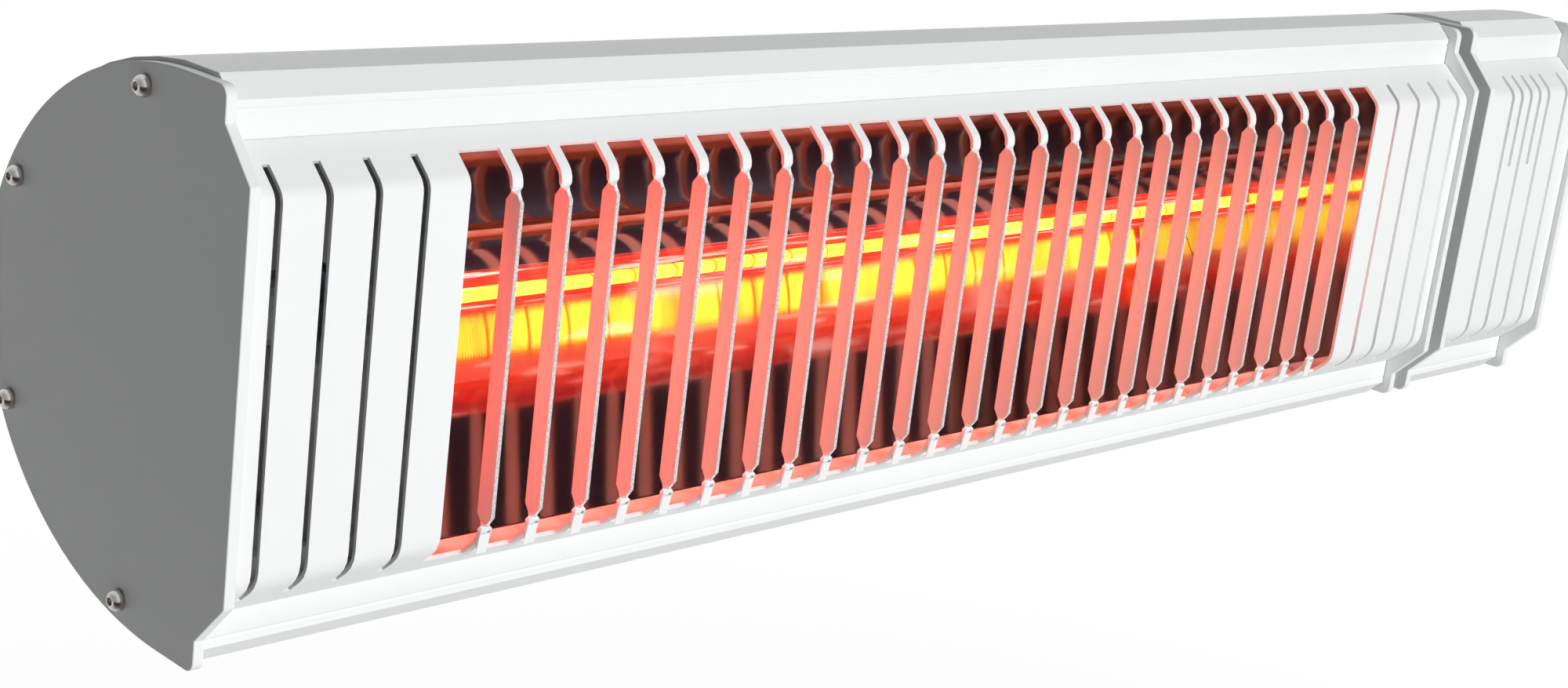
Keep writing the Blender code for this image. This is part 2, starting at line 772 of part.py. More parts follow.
def make_lamp(quartz, tungsten, ceramic, steel):
    make_lamp_tube(quartz)
    make_filament(tungsten)
    for side, cheek, word in ((-1, CHEEK_LEFT, "left"), (1, CHEEK_RIGHT, "right")):
        outside = cheek + side * (CHEEK_SHEET + CLEARANCE)
        start = cheek + side * (LAMP_OVERHANG - BASE_SOCKET)
        make_lamp_base(f"lamp_base_{word}", start, side, ceramic)
        make_lamp_holder(f"lamp_holder_{word}", outside, side, steel)


def quarter_turn(centre, first, second, radius, steps=4):
    """A wire's bend about a centre, from the first unit direction round to the second."""
    points = []
    for k in range(steps + 1):
        angle = pi / 2 * k / steps
        step = Vector(first) * cos(angle) + Vector(second) * sin(angle)
        points.append(tuple(Vector(centre) + step * radius))
    return points


def make_leads(silicone):
    """Each end of the lamp has a lead to the terminal block; the left one runs behind the reflector."""
    base_end = CHEEK_RIGHT + LAMP_OVERHANG - BASE_SOCKET + BASE_LENGTH + CLEARANCE
    block_low, block_high = terminal_box()
    block_face = block_low[2] - CLEARANCE
    middle_x = (block_low[0] + block_high[0]) / 2
    turn_x = -base_end - LEAD_STUB
    left = [(-base_end, LAMP_DEPTH, 0)]
    left += quarter_turn((turn_x, LAMP_DEPTH + LEAD_BEND, 0), (0, -1, 0), (-1, 0, 0), LEAD_BEND)
    left += quarter_turn((turn_x, LEAD_DEPTH - LEAD_BEND, 0), (-1, 0, 0), (0, 1, 0), LEAD_BEND)
    left += [
        (0, LEAD_DEPTH, 0),
        (CHEEK_RIGHT + LEAD_PLAY, LEAD_DEPTH, 0),
        (middle_x, LEAD_DEPTH, LEAD_RISE),
        (middle_x, LEAD_DEPTH, block_face),
    ]
    tube("lamp_lead_left", left, LEAD_RADIUS, silicone)
    near = block_low[1] + TERMINAL_LEDGE
    right = [
        (base_end, LAMP_DEPTH, 0),
        (base_end + LEAD_PLAY, LAMP_DEPTH, LEAD_STUB),
        (base_end + LEAD_BEND, LAMP_DEPTH + LEAD_BEND + LEAD_PLAY, LEAD_RISE),
        (middle_x + LEAD_BEND, near, block_face - LEAD_BEND - LEAD_PLAY),
        (middle_x, near, block_face - LEAD_PLAY),
        (middle_x, near, block_face),
    ]
    tube("lamp_lead_right", right, LEAD_RADIUS, silicone)


def terminal_box():
    """Corners of the ceramic terminal block on the right cheek's outer face, as (x, depth, height)."""
    width, depth, height = TERMINAL_SIZE
    left = CHEEK_RIGHT + CHEEK_SHEET + CLEARANCE
    front = LEAD_DEPTH - depth + TERMINAL_LEDGE
    return (left, front, TERMINAL_BASE), (left + width, front + depth, TERMINAL_BASE + height)


def make_terminals(ceramic):
    low, high = terminal_box()
    block = box("terminal_block", low, high, ceramic, bevel=TERMINAL_EDGE)
    reach = 2 * TERMINAL_WELL_DEPTH
    for k, height in enumerate((low[2] + TERMINAL_WELL_INSET, high[2] - TERMINAL_WELL_INSET), 1):
        well = [(0, reach), (TERMINAL_WELL, reach), (TERMINAL_WELL, 0), (0, 0)]
        place = (high[0] - TERMINAL_WELL_DEPTH, (low[1] + high[1]) / 2, height)
        cut(block, helper(turned, f"terminal_well_{k}", well, place, (1, 0, 0), ceramic, 8))
    return block


# Fasteners


def make_screws(prefix, face, side, finish):
    """Four button-head screws: face is the plate's outer face and side the way that the heads stand out."""
    profile = [
        (0, SCREW_HEAD_HEIGHT * 0.4),
        (SCREW_SOCKET, SCREW_HEAD_HEIGHT * 0.4),
        (SCREW_SOCKET, SCREW_HEAD_HEIGHT),
        (SCREW_HEAD * 0.7, SCREW_HEAD_HEIGHT * 0.85),
        (SCREW_HEAD, SCREW_HEAD_HEIGHT * 0.2),
        (SCREW_HEAD, 0),
        (SCREW_RADIUS, 0),
        (SCREW_RADIUS, -SCREW_LENGTH),
        (0, -SCREW_LENGTH),
    ]
    for k, (depth, height) in enumerate(ports(), 1):
        place = (face + side * CLEARANCE, depth, height)
        turned(f"{prefix}_screw_{k}", profile, place, (side, 0, 0), finish, 8)


def hexagon(radius):
    return [(radius * cos(pi / 3 * k + pi / 6), radius * sin(pi / 3 * k + pi / 6)) for k in range(6)]


def shifted(points, depth, height):
    return [(a + depth, b + height) for a, b in points]


# Control module


def make_control_shell(finish):
    inset = PLATE_THICKNESS + CLEARANCE
    low, high = CONTROL_LEFT + inset, CONTROL_RIGHT - inset
    shell = make_shell("control_housing_shell", low, high, finish)
    board_half = board_height()
    for side in (-1, 1):
        for word, start in (
            ("front", BOARD_DEPTH - CLEARANCE - GUIDE_WALL),
            ("rear", BOARD_DEPTH + BOARD_SHEET + CLEARANCE),
        ):
            tip = side * (board_half - GUIDE_REACH)
            root = side * (inside_at(start + GUIDE_WALL / 2) + SHELL_WALL / 2)
            rib = rectangle(start, start + GUIDE_WALL, min(tip, root), max(tip, root))
            name = f"control_guide_{word}_{'upper' if side > 0 else 'lower'}"
            joined(shell, helper(extruded, name, [rib], "X", low, high, finish))
    x = (CONTROL_LEFT + CONTROL_RIGHT) / 2
    hole = [(x + a, b) for a, b in circle(0, 0, GLAND_THREAD + CLEARANCE, 16)]
    cut(shell, helper(extruded, "gland_hole", [hole], "Y", LAND_DEPTH - 0.01, LAND_DEPTH + 0.01, finish))
    return shell


def inside_at(depth):
    """The casing's inner half height at a depth behind the roof."""
    reach = BACK_REACH + SHELL_RISE - SHELL_WALL
    return (SHELL_HALF - SHELL_WALL) * (1 - ((depth - ROOF_DEPTH) / reach) ** 2) ** 0.5


def board_height():
    """Half the board's height: the casing's inside where the board stands, less a little play."""
    return inside_at(BOARD_DEPTH + BOARD_SHEET + GUIDE_WALL + CLEARANCE) - 2 * CLEARANCE


def make_board(laminate, aluminium, black, blue, ceramic):
    middle = (CONTROL_LEFT + CONTROL_RIGHT) / 2
    low, high = middle - BOARD_LENGTH / 2, middle + BOARD_LENGTH / 2
    half = board_height()
    box("control_board", (low, BOARD_DEPTH, -half), (high, BOARD_DEPTH + BOARD_SHEET, half), laminate)
    front = BOARD_DEPTH - CLEARANCE
    length, depth, height = SINK_SIZE
    sink_low = (middle - length / 2, front - depth, -height / 2)
    sink = box("control_heat_sink", sink_low, (middle + length / 2, front, height / 2), aluminium)
    pitch = (length - SINK_FIN) / (SINK_FINS - 1)
    for k in range(SINK_FINS - 1):
        x = sink_low[0] + SINK_FIN + k * pitch
        slot_low = (x, front - depth - 1e-3, -height)
        slot_high = (x + pitch - SINK_FIN, front - SINK_ROOT, height)
        cut(sink, helper(box, f"sink_slot_{k + 1}", slot_low, slot_high, aluminium))
    length, depth, height = RELAY_SIZE
    relay_top = -SINK_SIZE[2] / 2 - PART_GAP
    relay_left = low + PART_INSET
    relay_low = (relay_left, front - depth, relay_top - height)
    box("control_relay", relay_low, (relay_left + length, front, relay_top), black, bevel=TERMINAL_EDGE)
    profile = [
        (0, CAPACITOR_LENGTH),
        (CAPACITOR_RADIUS - CAPACITOR_EDGE, CAPACITOR_LENGTH),
        (CAPACITOR_RADIUS, CAPACITOR_LENGTH - CAPACITOR_EDGE),
        (CAPACITOR_RADIUS, 0),
        (0, 0),
    ]
    place = (high - PART_INSET - CAPACITOR_RADIUS, front, relay_top - height / 2)
    smooth(turned("control_capacitor", profile, place, (0, -1, 0), blue, 14))
    length, depth, height = TERMINAL_SIZE
    base = control_terminal_low()
    top = (base[0] + height, base[1] + depth, base[2] + length)
    box("control_terminals", base, top, ceramic, bevel=TERMINAL_EDGE)


def control_terminal_low():
    middle = (CONTROL_LEFT + CONTROL_RIGHT) / 2
    left = middle - BOARD_LENGTH / 2 + TERMINAL_SETBACK
    return (left, BOARD_DEPTH - CLEARANCE - TERMINAL_SIZE[1], LINK_HEIGHT - TERMINAL_SIZE[0] / 2)


def make_gland(nylon):
    """A cable gland in the middle of the control module's back, with no cable in it."""
    x = (CONTROL_LEFT + CONTROL_RIGHT) / 2
    inner = GLAND_NUT_WIDTH + LAND_RISE + SHELL_WALL + GLAND_REACH
    profile = [
        (GLAND_BORE, GLAND_LENGTH),
        (GLAND_DOME * 0.7, GLAND_LENGTH),
        (GLAND_DOME, GLAND_LENGTH * 0.75),
        (GLAND_DOME, GLAND_LENGTH * 0.4),
        (GLAND_FLANGE, GLAND_LENGTH * 0.35),
        (GLAND_FLANGE, 0),
        (GLAND_THREAD, 0),
        (GLAND_THREAD, -inner),
        (GLAND_BORE, -inner),
        (GLAND_BORE, GLAND_LENGTH),
    ]
    smooth(turned("cable_gland", profile, (x, LAND_DEPTH + CLEARANCE, 0), (0, 1, 0), nylon), 30)
    inside = SHELL_BACK - SHELL_WALL - CLEARANCE
    while inside_at(inside) < GLAND_FLANGE:
        inside -= CLEARANCE
    ring = [(x + a, b) for a, b in hexagon(GLAND_FLANGE)]
    hole = [(x + a, b) for a, b in circle(0, 0, GLAND_THREAD + CLEARANCE, 16)]
    extruded("gland_lock_nut", [ring, hole], "Y", inside - GLAND_NUT_WIDTH, inside, nylon)


# Link between the modules


def make_links(steel, silicone):
    """Two hollow nipples hold the modules together, each with a collar in the gap and a nut on either side."""
    for height, word in ((LINK_HEIGHT, "upper"), (-LINK_HEIGHT, "lower")):
        collar = MODULE_GAP - 2 * CLEARANCE
        end = collar + PLATE_THICKNESS + LINK_REACH
        start = -PLATE_THICKNESS - LINK_REACH
        profile = [
            (LINK_BORE, end),
            (LINK_RADIUS, end),
            (LINK_RADIUS, collar),
            (LINK_COLLAR, collar),
            (LINK_COLLAR, 0),
            (LINK_RADIUS, 0),
            (LINK_RADIUS, start),
            (LINK_BORE, start),
            (LINK_BORE, end),
        ]
        place = (MAIN_RIGHT + CLEARANCE, LINK_DEPTH, height)
        smooth(turned(f"link_nipple_{word}", profile, place, (1, 0, 0), steel, 12))
        ring = shifted(hexagon(LINK_NUT_RADIUS), LINK_DEPTH, height)
        hole = circle(LINK_DEPTH, height, LINK_RADIUS + CLEARANCE, 12)
        for side, face, where in (
            (-1, MAIN_RIGHT - PLATE_THICKNESS - CLEARANCE, "main"),
            (1, CONTROL_LEFT + PLATE_THICKNESS + CLEARANCE, "control"),
        ):
            low, high = sorted((face, face + side * LINK_NUT_WIDTH))
            extruded(f"link_nut_{where}_{word}", [ring, hole], "X", low, high, steel)
    low, high = terminal_box()
    start = (high[0] + CLEARANCE, (low[1] + high[1]) / 2, LINK_HEIGHT - LINK_CABLE_DROP)
    bend_x = MAIN_RIGHT - PLATE_THICKNESS - LINK_CABLE_RUN
    end = control_terminal_low()
    cable = [
        start,
        (start[0] + LEAD_PLAY, start[1], start[2]),
        (bend_x, (start[1] + LINK_DEPTH) / 2, LINK_HEIGHT - LINK_CABLE_DROP / 2),
        (MAIN_RIGHT - PLATE_THICKNESS - LINK_REACH, LINK_DEPTH, LINK_HEIGHT),
        (CONTROL_LEFT + PLATE_THICKNESS + LINK_REACH, LINK_DEPTH, LINK_HEIGHT),
        (end[0] - CLEARANCE, LINK_DEPTH, LINK_HEIGHT),
    ]
    tube("link_cable", cable, LINK_CABLE_RADIUS, silicone)


# Wall mount


def ear_outline(root, root_half, radius, steps=8):
    """A plate that narrows from its root to a round end about the pivot."""
    tip = PIVOT_DEPTH
    side = 1 if root > tip else -1
    lean = acos(radius / hypot(root - tip, root_half)) if hypot(root - tip, root_half) > radius else 0
    start = atan2(root_half, side * (root - tip)) + lean
    angles = [start + (2 * pi - 2 * start) * k / steps for k in range(steps + 1)]
    end = [(tip + side * radius * cos(a), radius * sin(a)) for a in angles]
    return [(root, root_half)] + end + [(root, -root_half)]


def make_bracket(steel):
    """The fixed half: a wall plate with four slots and two ears."""
    inner = WALL_DEPTH - BRACKET_SHEET
    outline = mirrored_block(BRACKET_HALF_WIDTH, BRACKET_HALF_HEIGHT, BRACKET_CORNER)
    loops = [outline]
    for x in (-WALL_SLOT_REACH, WALL_SLOT_REACH):
        for height in (-WALL_SLOT_RISE, WALL_SLOT_RISE):
            loops.append(slot_outline(x, height, WALL_SLOT_RADIUS, WALL_SLOT_LENGTH))
    bracket = extruded("wall_bracket", loops, "Y", inner, WALL_DEPTH, steel)
    ear = ear_outline(inner + BRACKET_SHEET / 2, EAR_ROOT, EAR_RADIUS)
    hole = circle(PIVOT_DEPTH, 0, PIVOT_RADIUS + CLEARANCE, 12)
    for side, word in ((-1, "left"), (1, "right")):
        low, high = sorted((side * EAR_SPAN, side * (EAR_SPAN + BRACKET_SHEET)))
        joined(bracket, helper(extruded, f"ear_{word}", [ear, hole], "X", low, high, steel))
    return bracket


def mirrored_block(half_width, half_height, corner):
    """A rectangle about the origin with rounded corners."""
    points = []
    for quarter, (a, b) in enumerate(((1, 1), (-1, 1), (-1, -1), (1, -1))):
        for k in range(4):
            angle = pi / 2 * (quarter + k / 3)
            centre = (a * (half_width - corner), b * (half_height - corner))
            points.append((centre[0] + corner * cos(angle), centre[1] + corner * sin(angle)))
    return points


def slot_outline(x, height, radius, length):
    """An upright slot with round ends."""
    reach = length / 2 - radius
    upper = [(x + radius * cos(pi * k / 5), height + reach + radius * sin(pi * k / 5)) for k in range(6)]
    lower = [(x - radius * cos(pi * k / 5), height - reach - radius * sin(pi * k / 5)) for k in range(6)]
    return upper + lower


def make_shoe(steel):
    """The tilting half: a foot bolted on the housing's land, with two lugs between the bracket's ears."""
    outer = EAR_SPAN - WASHER_SHEET - 2 * CLEARANCE
    outline = mirrored_block(outer, SHOE_HALF_HEIGHT, SHOE_CORNER)
    holes = [
        [(x + a, b) for a, b in circle(0, 0, SHOE_BOLT_RADIUS + CLEARANCE, 10)]
        for x in (-SHOE_BOLT_REACH, SHOE_BOLT_REACH)
    ]
    shoe = extruded("mounting_shoe", [outline] + holes, "Y", SHOE_FACE, SHOE_FACE + SHOE_BASE, steel)
    lug = ear_outline(SHOE_FACE + SHOE_BASE / 2, SHOE_HALF_HEIGHT - LUG_INSET, LUG_RADIUS)
    hole = circle(PIVOT_DEPTH, 0, PIVOT_RADIUS + CLEARANCE, 12)
    for side, word in ((-1, "left"), (1, "right")):
        low, high = sorted((side * (outer - LUG_SHEET), side * outer))
        joined(shoe, helper(extruded, f"lug_{word}", [lug, hole], "X", low, high, steel))
    return shoe


def make_shoe_bolts(shell, steel):
    """Two socket screws from the shoe into the housing's thick land."""
    face = SHOE_FACE + SHOE_BASE + CLEARANCE
    reach = SHOE_BASE + LAND_RISE + SHELL_WALL
    profile = [
        (0, SHOE_BOLT_HEAD_HEIGHT * 0.5),
        (SHOE_BOLT_HEAD * 0.5, SHOE_BOLT_HEAD_HEIGHT * 0.5),
        (SHOE_BOLT_HEAD * 0.5, SHOE_BOLT_HEAD_HEIGHT),
        (SHOE_BOLT_HEAD, SHOE_BOLT_HEAD_HEIGHT),
        (SHOE_BOLT_HEAD, 0),
        (SHOE_BOLT_RADIUS, 0),
        (SHOE_BOLT_RADIUS, -reach),
        (0, -reach),
    ]
    for x, word in ((-SHOE_BOLT_REACH, "left"), (SHOE_BOLT_REACH, "right")):
        turned(f"shoe_bolt_{word}", profile, (x, face, 0), (0, 1, 0), steel, 10)
        hole = [(x + a, b) for a, b in circle(0, 0, SHOE_BOLT_RADIUS + CLEARANCE, 10)]
        deep = LAND_DEPTH - 0.01
        cut(shell, helper(extruded, f"land_hole_{word}", [hole], "Y", deep, LAND_DEPTH + 0.01, steel))


def make_pivot(steel):
    """The tilt bolt with its washers and nut, held by the bracket's ears."""
    outer = EAR_SPAN + BRACKET_SHEET + CLEARANCE
    head = shifted(hexagon(PIVOT_HEX), PIVOT_DEPTH, 0)
    shank = circle(PIVOT_DEPTH, 0, PIVOT_RADIUS, 12)
    end = outer + PIVOT_NUT + PIVOT_END
    bolt = extruded("tilt_bolt", [shank], "X", -outer - PIVOT_HEAD / 2, end, steel)
    joined(bolt, helper(extruded, "tilt_bolt_head", [head], "X", -outer - PIVOT_HEAD, -outer, steel))
    hole = circle(PIVOT_DEPTH, 0, PIVOT_RADIUS + CLEARANCE, 12)
    extruded("tilt_nut", [head, hole], "X", outer, outer + PIVOT_NUT, steel)
    ring = circle(PIVOT_DEPTH, 0, PIVOT_WASHER, 12)
    inner = EAR_SPAN - CLEARANCE
    for side, word in ((-1, "left"), (1, "right")):
        low, high = sorted((side * inner, side * (inner - WASHER_SHEET)))
        extruded(f"tilt_washer_{word}", [ring, hole], "X", low, high, steel)


def main():
    clear_scene()
    white = material("white_powder_coat", (0.86, 0.87, 0.87), 0.45)
    bright = material("bright_aluminium", (0.80, 0.80, 0.82), 0.12, 1.0)
    quartz = material("ruby_quartz", (0.75, 0.06, 0.03), 0.05, 0.0, 1.0)
    tungsten = material("hot_tungsten", (1.0, 0.70, 0.20), 0.5, 0.0, 4.0)
    ceramic = material("white_ceramic", (0.82, 0.80, 0.74), 0.5)
    stainless = material("stainless_steel", (0.60, 0.60, 0.61), 0.3, 1.0)
    galvanised = material("galvanised_steel", (0.55, 0.56, 0.57), 0.45, 1.0)
    silicone = material("silicone_sleeve", (0.55, 0.50, 0.44), 0.7)
    laminate = material("glass_laminate", (0.05, 0.20, 0.09), 0.4)
    plain_aluminium = material("plain_aluminium", (0.70, 0.71, 0.72), 0.4, 1.0)
    black = material("black_nylon", (0.03, 0.03, 0.03), 0.5)
    blue = material("blue_sleeve", (0.03, 0.08, 0.30), 0.4)

    link_holes = [(LINK_DEPTH, height, LINK_RADIUS + CLEARANCE) for height in (LINK_HEIGHT, -LINK_HEIGHT)]
    inset = PLATE_THICKNESS + CLEARANCE
    housing = make_shell("housing_shell", MAIN_LEFT + inset, MAIN_RIGHT - inset, white)
    make_plate("left_end_plate", MAIN_LEFT, white)
    make_plate("right_end_plate", MAIN_RIGHT - PLATE_THICKNESS, white, link_holes)
    make_screws("left_plate", MAIN_LEFT, -1, stainless)
    make_screws("right_plate", MAIN_RIGHT, 1, stainless)
    make_main_front(white)
    make_reflector(bright)
    make_cheek("reflector_cheek_left", CHEEK_LEFT - CHEEK_SHEET, CHEEK_LEFT, bright)
    make_cheek("reflector_cheek_right", CHEEK_RIGHT, CHEEK_RIGHT + CHEEK_SHEET, bright)
    make_lamp(quartz, tungsten, ceramic, galvanised)
    make_terminals(ceramic)
    make_leads(silicone)

    make_control_shell(white)
    make_plate("control_left_plate", CONTROL_LEFT, white, link_holes)
    make_plate("control_right_plate", CONTROL_RIGHT - PLATE_THICKNESS, white)
    make_screws("control_left", CONTROL_LEFT, -1, stainless)
    make_screws("control_right", CONTROL_RIGHT, 1, stainless)
    make_control_front(white)
    make_board(laminate, plain_aluminium, black, blue, ceramic)
    make_gland(black)
    make_links(galvanised, silicone)

    make_shoe(galvanised)
    make_shoe_bolts(housing, stainless)
    make_bracket(white)
    make_pivot(stainless)


main()
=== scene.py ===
"""Looks for the infrared patio heater: finishes, fine forms, the glowing lamp, studio light and camera."""

import json
from math import cos, pi, radians, sin, tan

import bmesh
import bpy
from mathutils import Matrix, Vector

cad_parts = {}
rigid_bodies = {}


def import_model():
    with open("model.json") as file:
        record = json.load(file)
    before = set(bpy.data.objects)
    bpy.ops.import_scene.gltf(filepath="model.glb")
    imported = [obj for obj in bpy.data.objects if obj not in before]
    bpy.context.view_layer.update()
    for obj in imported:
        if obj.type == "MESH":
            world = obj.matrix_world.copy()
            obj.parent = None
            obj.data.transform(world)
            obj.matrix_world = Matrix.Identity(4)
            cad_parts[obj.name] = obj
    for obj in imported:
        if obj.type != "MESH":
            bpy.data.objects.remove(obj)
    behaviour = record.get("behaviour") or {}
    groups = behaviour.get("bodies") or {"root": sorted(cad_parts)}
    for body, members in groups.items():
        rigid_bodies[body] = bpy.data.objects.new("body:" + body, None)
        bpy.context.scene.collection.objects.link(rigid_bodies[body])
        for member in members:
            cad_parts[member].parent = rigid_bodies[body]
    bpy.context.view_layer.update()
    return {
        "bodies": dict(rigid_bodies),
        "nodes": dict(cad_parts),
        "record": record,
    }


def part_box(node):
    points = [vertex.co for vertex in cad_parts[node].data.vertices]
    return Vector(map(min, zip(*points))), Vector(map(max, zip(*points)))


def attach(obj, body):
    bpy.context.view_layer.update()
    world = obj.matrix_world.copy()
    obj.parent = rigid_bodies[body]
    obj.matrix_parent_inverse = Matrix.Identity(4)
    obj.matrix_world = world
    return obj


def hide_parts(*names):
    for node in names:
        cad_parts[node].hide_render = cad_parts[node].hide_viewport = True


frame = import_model()
nodes = frame["nodes"]
bodies = frame["bodies"]
scene = bpy.context.scene
scene.view_settings.view_transform = "Standard"

MM = 0.001


# Colours and nodes


def from_hex(code):
    """An sRGB hex value as a linear colour."""
    levels = [int(code[k : k + 2], 16) / 255 for k in (0, 2, 4)]
    return [v / 12.92 if v <= 0.04045 else ((v + 0.055) / 1.055) ** 2.4 for v in levels] + [1.0]


def add(tree, kind, settings=None, links=None):
    """Adds a node. Settings fill its properties and sockets, and links join its sockets to outputs."""
    node = tree.nodes.new(kind)
    for name, value in (settings or {}).items():
        if isinstance(name, str) and hasattr(node, name):
            setattr(node, name, value)
        else:
            node.inputs[name].default_value = value
    for name, output in (links or {}).items():
        tree.links.new(output, node.inputs[name])
    return node


def finish(name, colour, roughness, metallic=0.0):
    """A material with its shader's constants set; returns (material, tree, shader)."""
    made = bpy.data.materials.new(name)
    made.use_nodes = True
    tree = made.node_tree
    shader = tree.nodes["Principled BSDF"]
    shader.inputs["Base Color"].default_value = from_hex(colour)
    shader.inputs["Roughness"].default_value = roughness
    shader.inputs["Metallic"].default_value = metallic
    made.diffuse_color = from_hex(colour)
    return made, tree, shader


# Finishes


PEEL_GRAIN = 1.4 * MM
PEEL_HEIGHT = 0.02 * MM
CLOUD_WIDTH = 60 * MM


def satin_coat(name):
    """Baked polyester powder: satin white, with the faint orange peel that breaks up its shine."""
    made, tree, shader = finish(name, "F4F6F6", 0.42)
    space = add(tree, "ShaderNodeTexCoord")
    where = space.outputs["Object"]
    peel = add(tree, "ShaderNodeTexNoise", {"Scale": 1 / PEEL_GRAIN, "Detail": 1.0}, {"Vector": where})
    cloud = add(tree, "ShaderNodeTexNoise", {"Scale": 1 / CLOUD_WIDTH, "Detail": 2.0}, {"Vector": where})
    tone = add(
        tree,
        "ShaderNodeMix",
        {"data_type": "RGBA", 6: from_hex("F1F4F4"), 7: from_hex("F6F7F7")},
        {0: cloud.outputs["Fac"]},
    )
    shine = add(tree, "ShaderNodeMapRange", {"To Min": 0.36, "To Max": 0.48}, {"Value": peel.outputs["Fac"]})
    skin = add(
        tree, "ShaderNodeBump", {"Distance": PEEL_HEIGHT, "Strength": 0.5}, {"Height": peel.outputs["Fac"]}
    )
    tree.links.new(tone.outputs[2], shader.inputs["Base Color"])
    tree.links.new(shine.outputs["Result"], shader.inputs["Roughness"])
    tree.links.new(skin.outputs["Normal"], shader.inputs["Normal"])
    return made, tree, shader, space, tone


def powder_coat():
    """The coat on the casings, plates and bracket: white all over, and a little cloudy."""
    return satin_coat("powder_coat_white")[0]


WINDOW_HALF = 214.7 * MM
BLADE_TOP = 44.5 * MM
# The heat's speckle is finer than this, and is drawn as coarse as it needs to show
SCORCH_GRAIN = 0.7 * MM


def powder_coat_over_lamp():
    """The front sheet's coat: white, speckled by heat on the blades' front edges, grey on the faces turned in
    to the lamp.
    """
    made, tree, shader, space, tone = satin_coat("powder_coat_front")
    where = space.outputs["Object"]
    place = add(tree, "ShaderNodeSeparateXYZ", None, {"Vector": where})
    grit = add(tree, "ShaderNodeTexNoise", {"Scale": 1 / SCORCH_GRAIN, "Detail": 2.0}, {"Vector": where})
    speckle = add(
        tree, "ShaderNodeMapRange", {"From Min": 0.40, "From Max": 0.60}, {"Value": grit.outputs["Fac"]}
    )
    scorched = add(
        tree,
        "ShaderNodeMix",
        {"data_type": "RGBA", 6: from_hex("BCC1C0"), 7: from_hex("E2E5E4")},
        {0: speckle.outputs["Result"]},
    )
    sideways = add(tree, "ShaderNodeMath", {"operation": "ABSOLUTE"}, {0: place.outputs["X"]})
    upwards = add(tree, "ShaderNodeMath", {"operation": "ABSOLUTE"}, {0: place.outputs["Z"]})
    between = add(
        tree, "ShaderNodeMath", {"operation": "LESS_THAN", 1: WINDOW_HALF}, {0: sideways.outputs["Value"]}
    )
    within = add(
        tree, "ShaderNodeMath", {"operation": "LESS_THAN", 1: BLADE_TOP}, {0: upwards.outputs["Value"]}
    )
    on_bars = add(
        tree,
        "ShaderNodeMath",
        {"operation": "MULTIPLY"},
        {0: between.outputs["Value"], 1: within.outputs["Value"]},
    )
    facing = add(tree, "ShaderNodeSeparateXYZ", None, {"Vector": space.outputs["Normal"]})
    forward = add(tree, "ShaderNodeMath", {"operation": "LESS_THAN", 1: -0.5}, {0: facing.outputs["Y"]})
    on_edges = add(
        tree,
        "ShaderNodeMath",
        {"operation": "MULTIPLY"},
        {0: on_bars.outputs["Value"], 1: forward.outputs["Value"]},
    )
    outside = add(
        tree,
        "ShaderNodeMix",
        {"data_type": "RGBA"},
        {0: on_edges.outputs["Value"], 6: tone.outputs[2], 7: scorched.outputs[2]},
    )
    inward = add(tree, "ShaderNodeMath", {"operation": "GREATER_THAN", 1: 0.3}, {0: facing.outputs["Y"]})
    coat = add(
        tree,
        "ShaderNodeMix",
        {"data_type": "RGBA", 7: from_hex("8E9698")},
        {0: inward.outputs["Value"], 6: outside.outputs[2]},
    )
    tree.links.new(coat.outputs[2], shader.inputs["Base Color"])
    return made


WAVE_LENGTH = 24 * MM
WAVE_HEIGHT = 0.05 * MM
STAIN_WIDTH = 45 * MM


def reflector_aluminium():
    """Rolled and polished aluminium: a clear mirror, barely waved, with a warm stain from the heat."""
    made, tree, shader = finish("polished_aluminium", "C6C0BE", 0.05, 1.0)
    where = add(tree, "ShaderNodeTexCoord").outputs["Object"]
    along = add(tree, "ShaderNodeMapping", {"Scale": (0.4, 1, 1)}, {"Vector": where})
    wave = add(
        tree,
        "ShaderNodeTexNoise",
        {"Scale": 1 / WAVE_LENGTH, "Detail": 0.0},
        {"Vector": along.outputs["Vector"]},
    )
    stain = add(tree, "ShaderNodeTexNoise", {"Scale": 1 / STAIN_WIDTH, "Detail": 3.0}, {"Vector": where})
    tone = add(
        tree,
        "ShaderNodeMix",
        {"data_type": "RGBA", 6: from_hex("CDC7C4"), 7: from_hex("BEB8B8")},
        {0: stain.outputs["Fac"]},
    )
    shine = add(tree, "ShaderNodeMapRange", {"To Min": 0.03, "To Max": 0.07}, {"Value": stain.outputs["Fac"]})
    skin = add(
        tree, "ShaderNodeBump", {"Distance": WAVE_HEIGHT, "Strength": 0.5}, {"Height": wave.outputs["Fac"]}
    )
    tree.links.new(tone.outputs[2], shader.inputs["Base Color"])
    tree.links.new(shine.outputs["Result"], shader.inputs["Roughness"])
    tree.links.new(skin.outputs["Normal"], shader.inputs["Normal"])
    return made


STREAK_LENGTH = 70 * MM
STREAK_WIDTH = 1.6 * MM


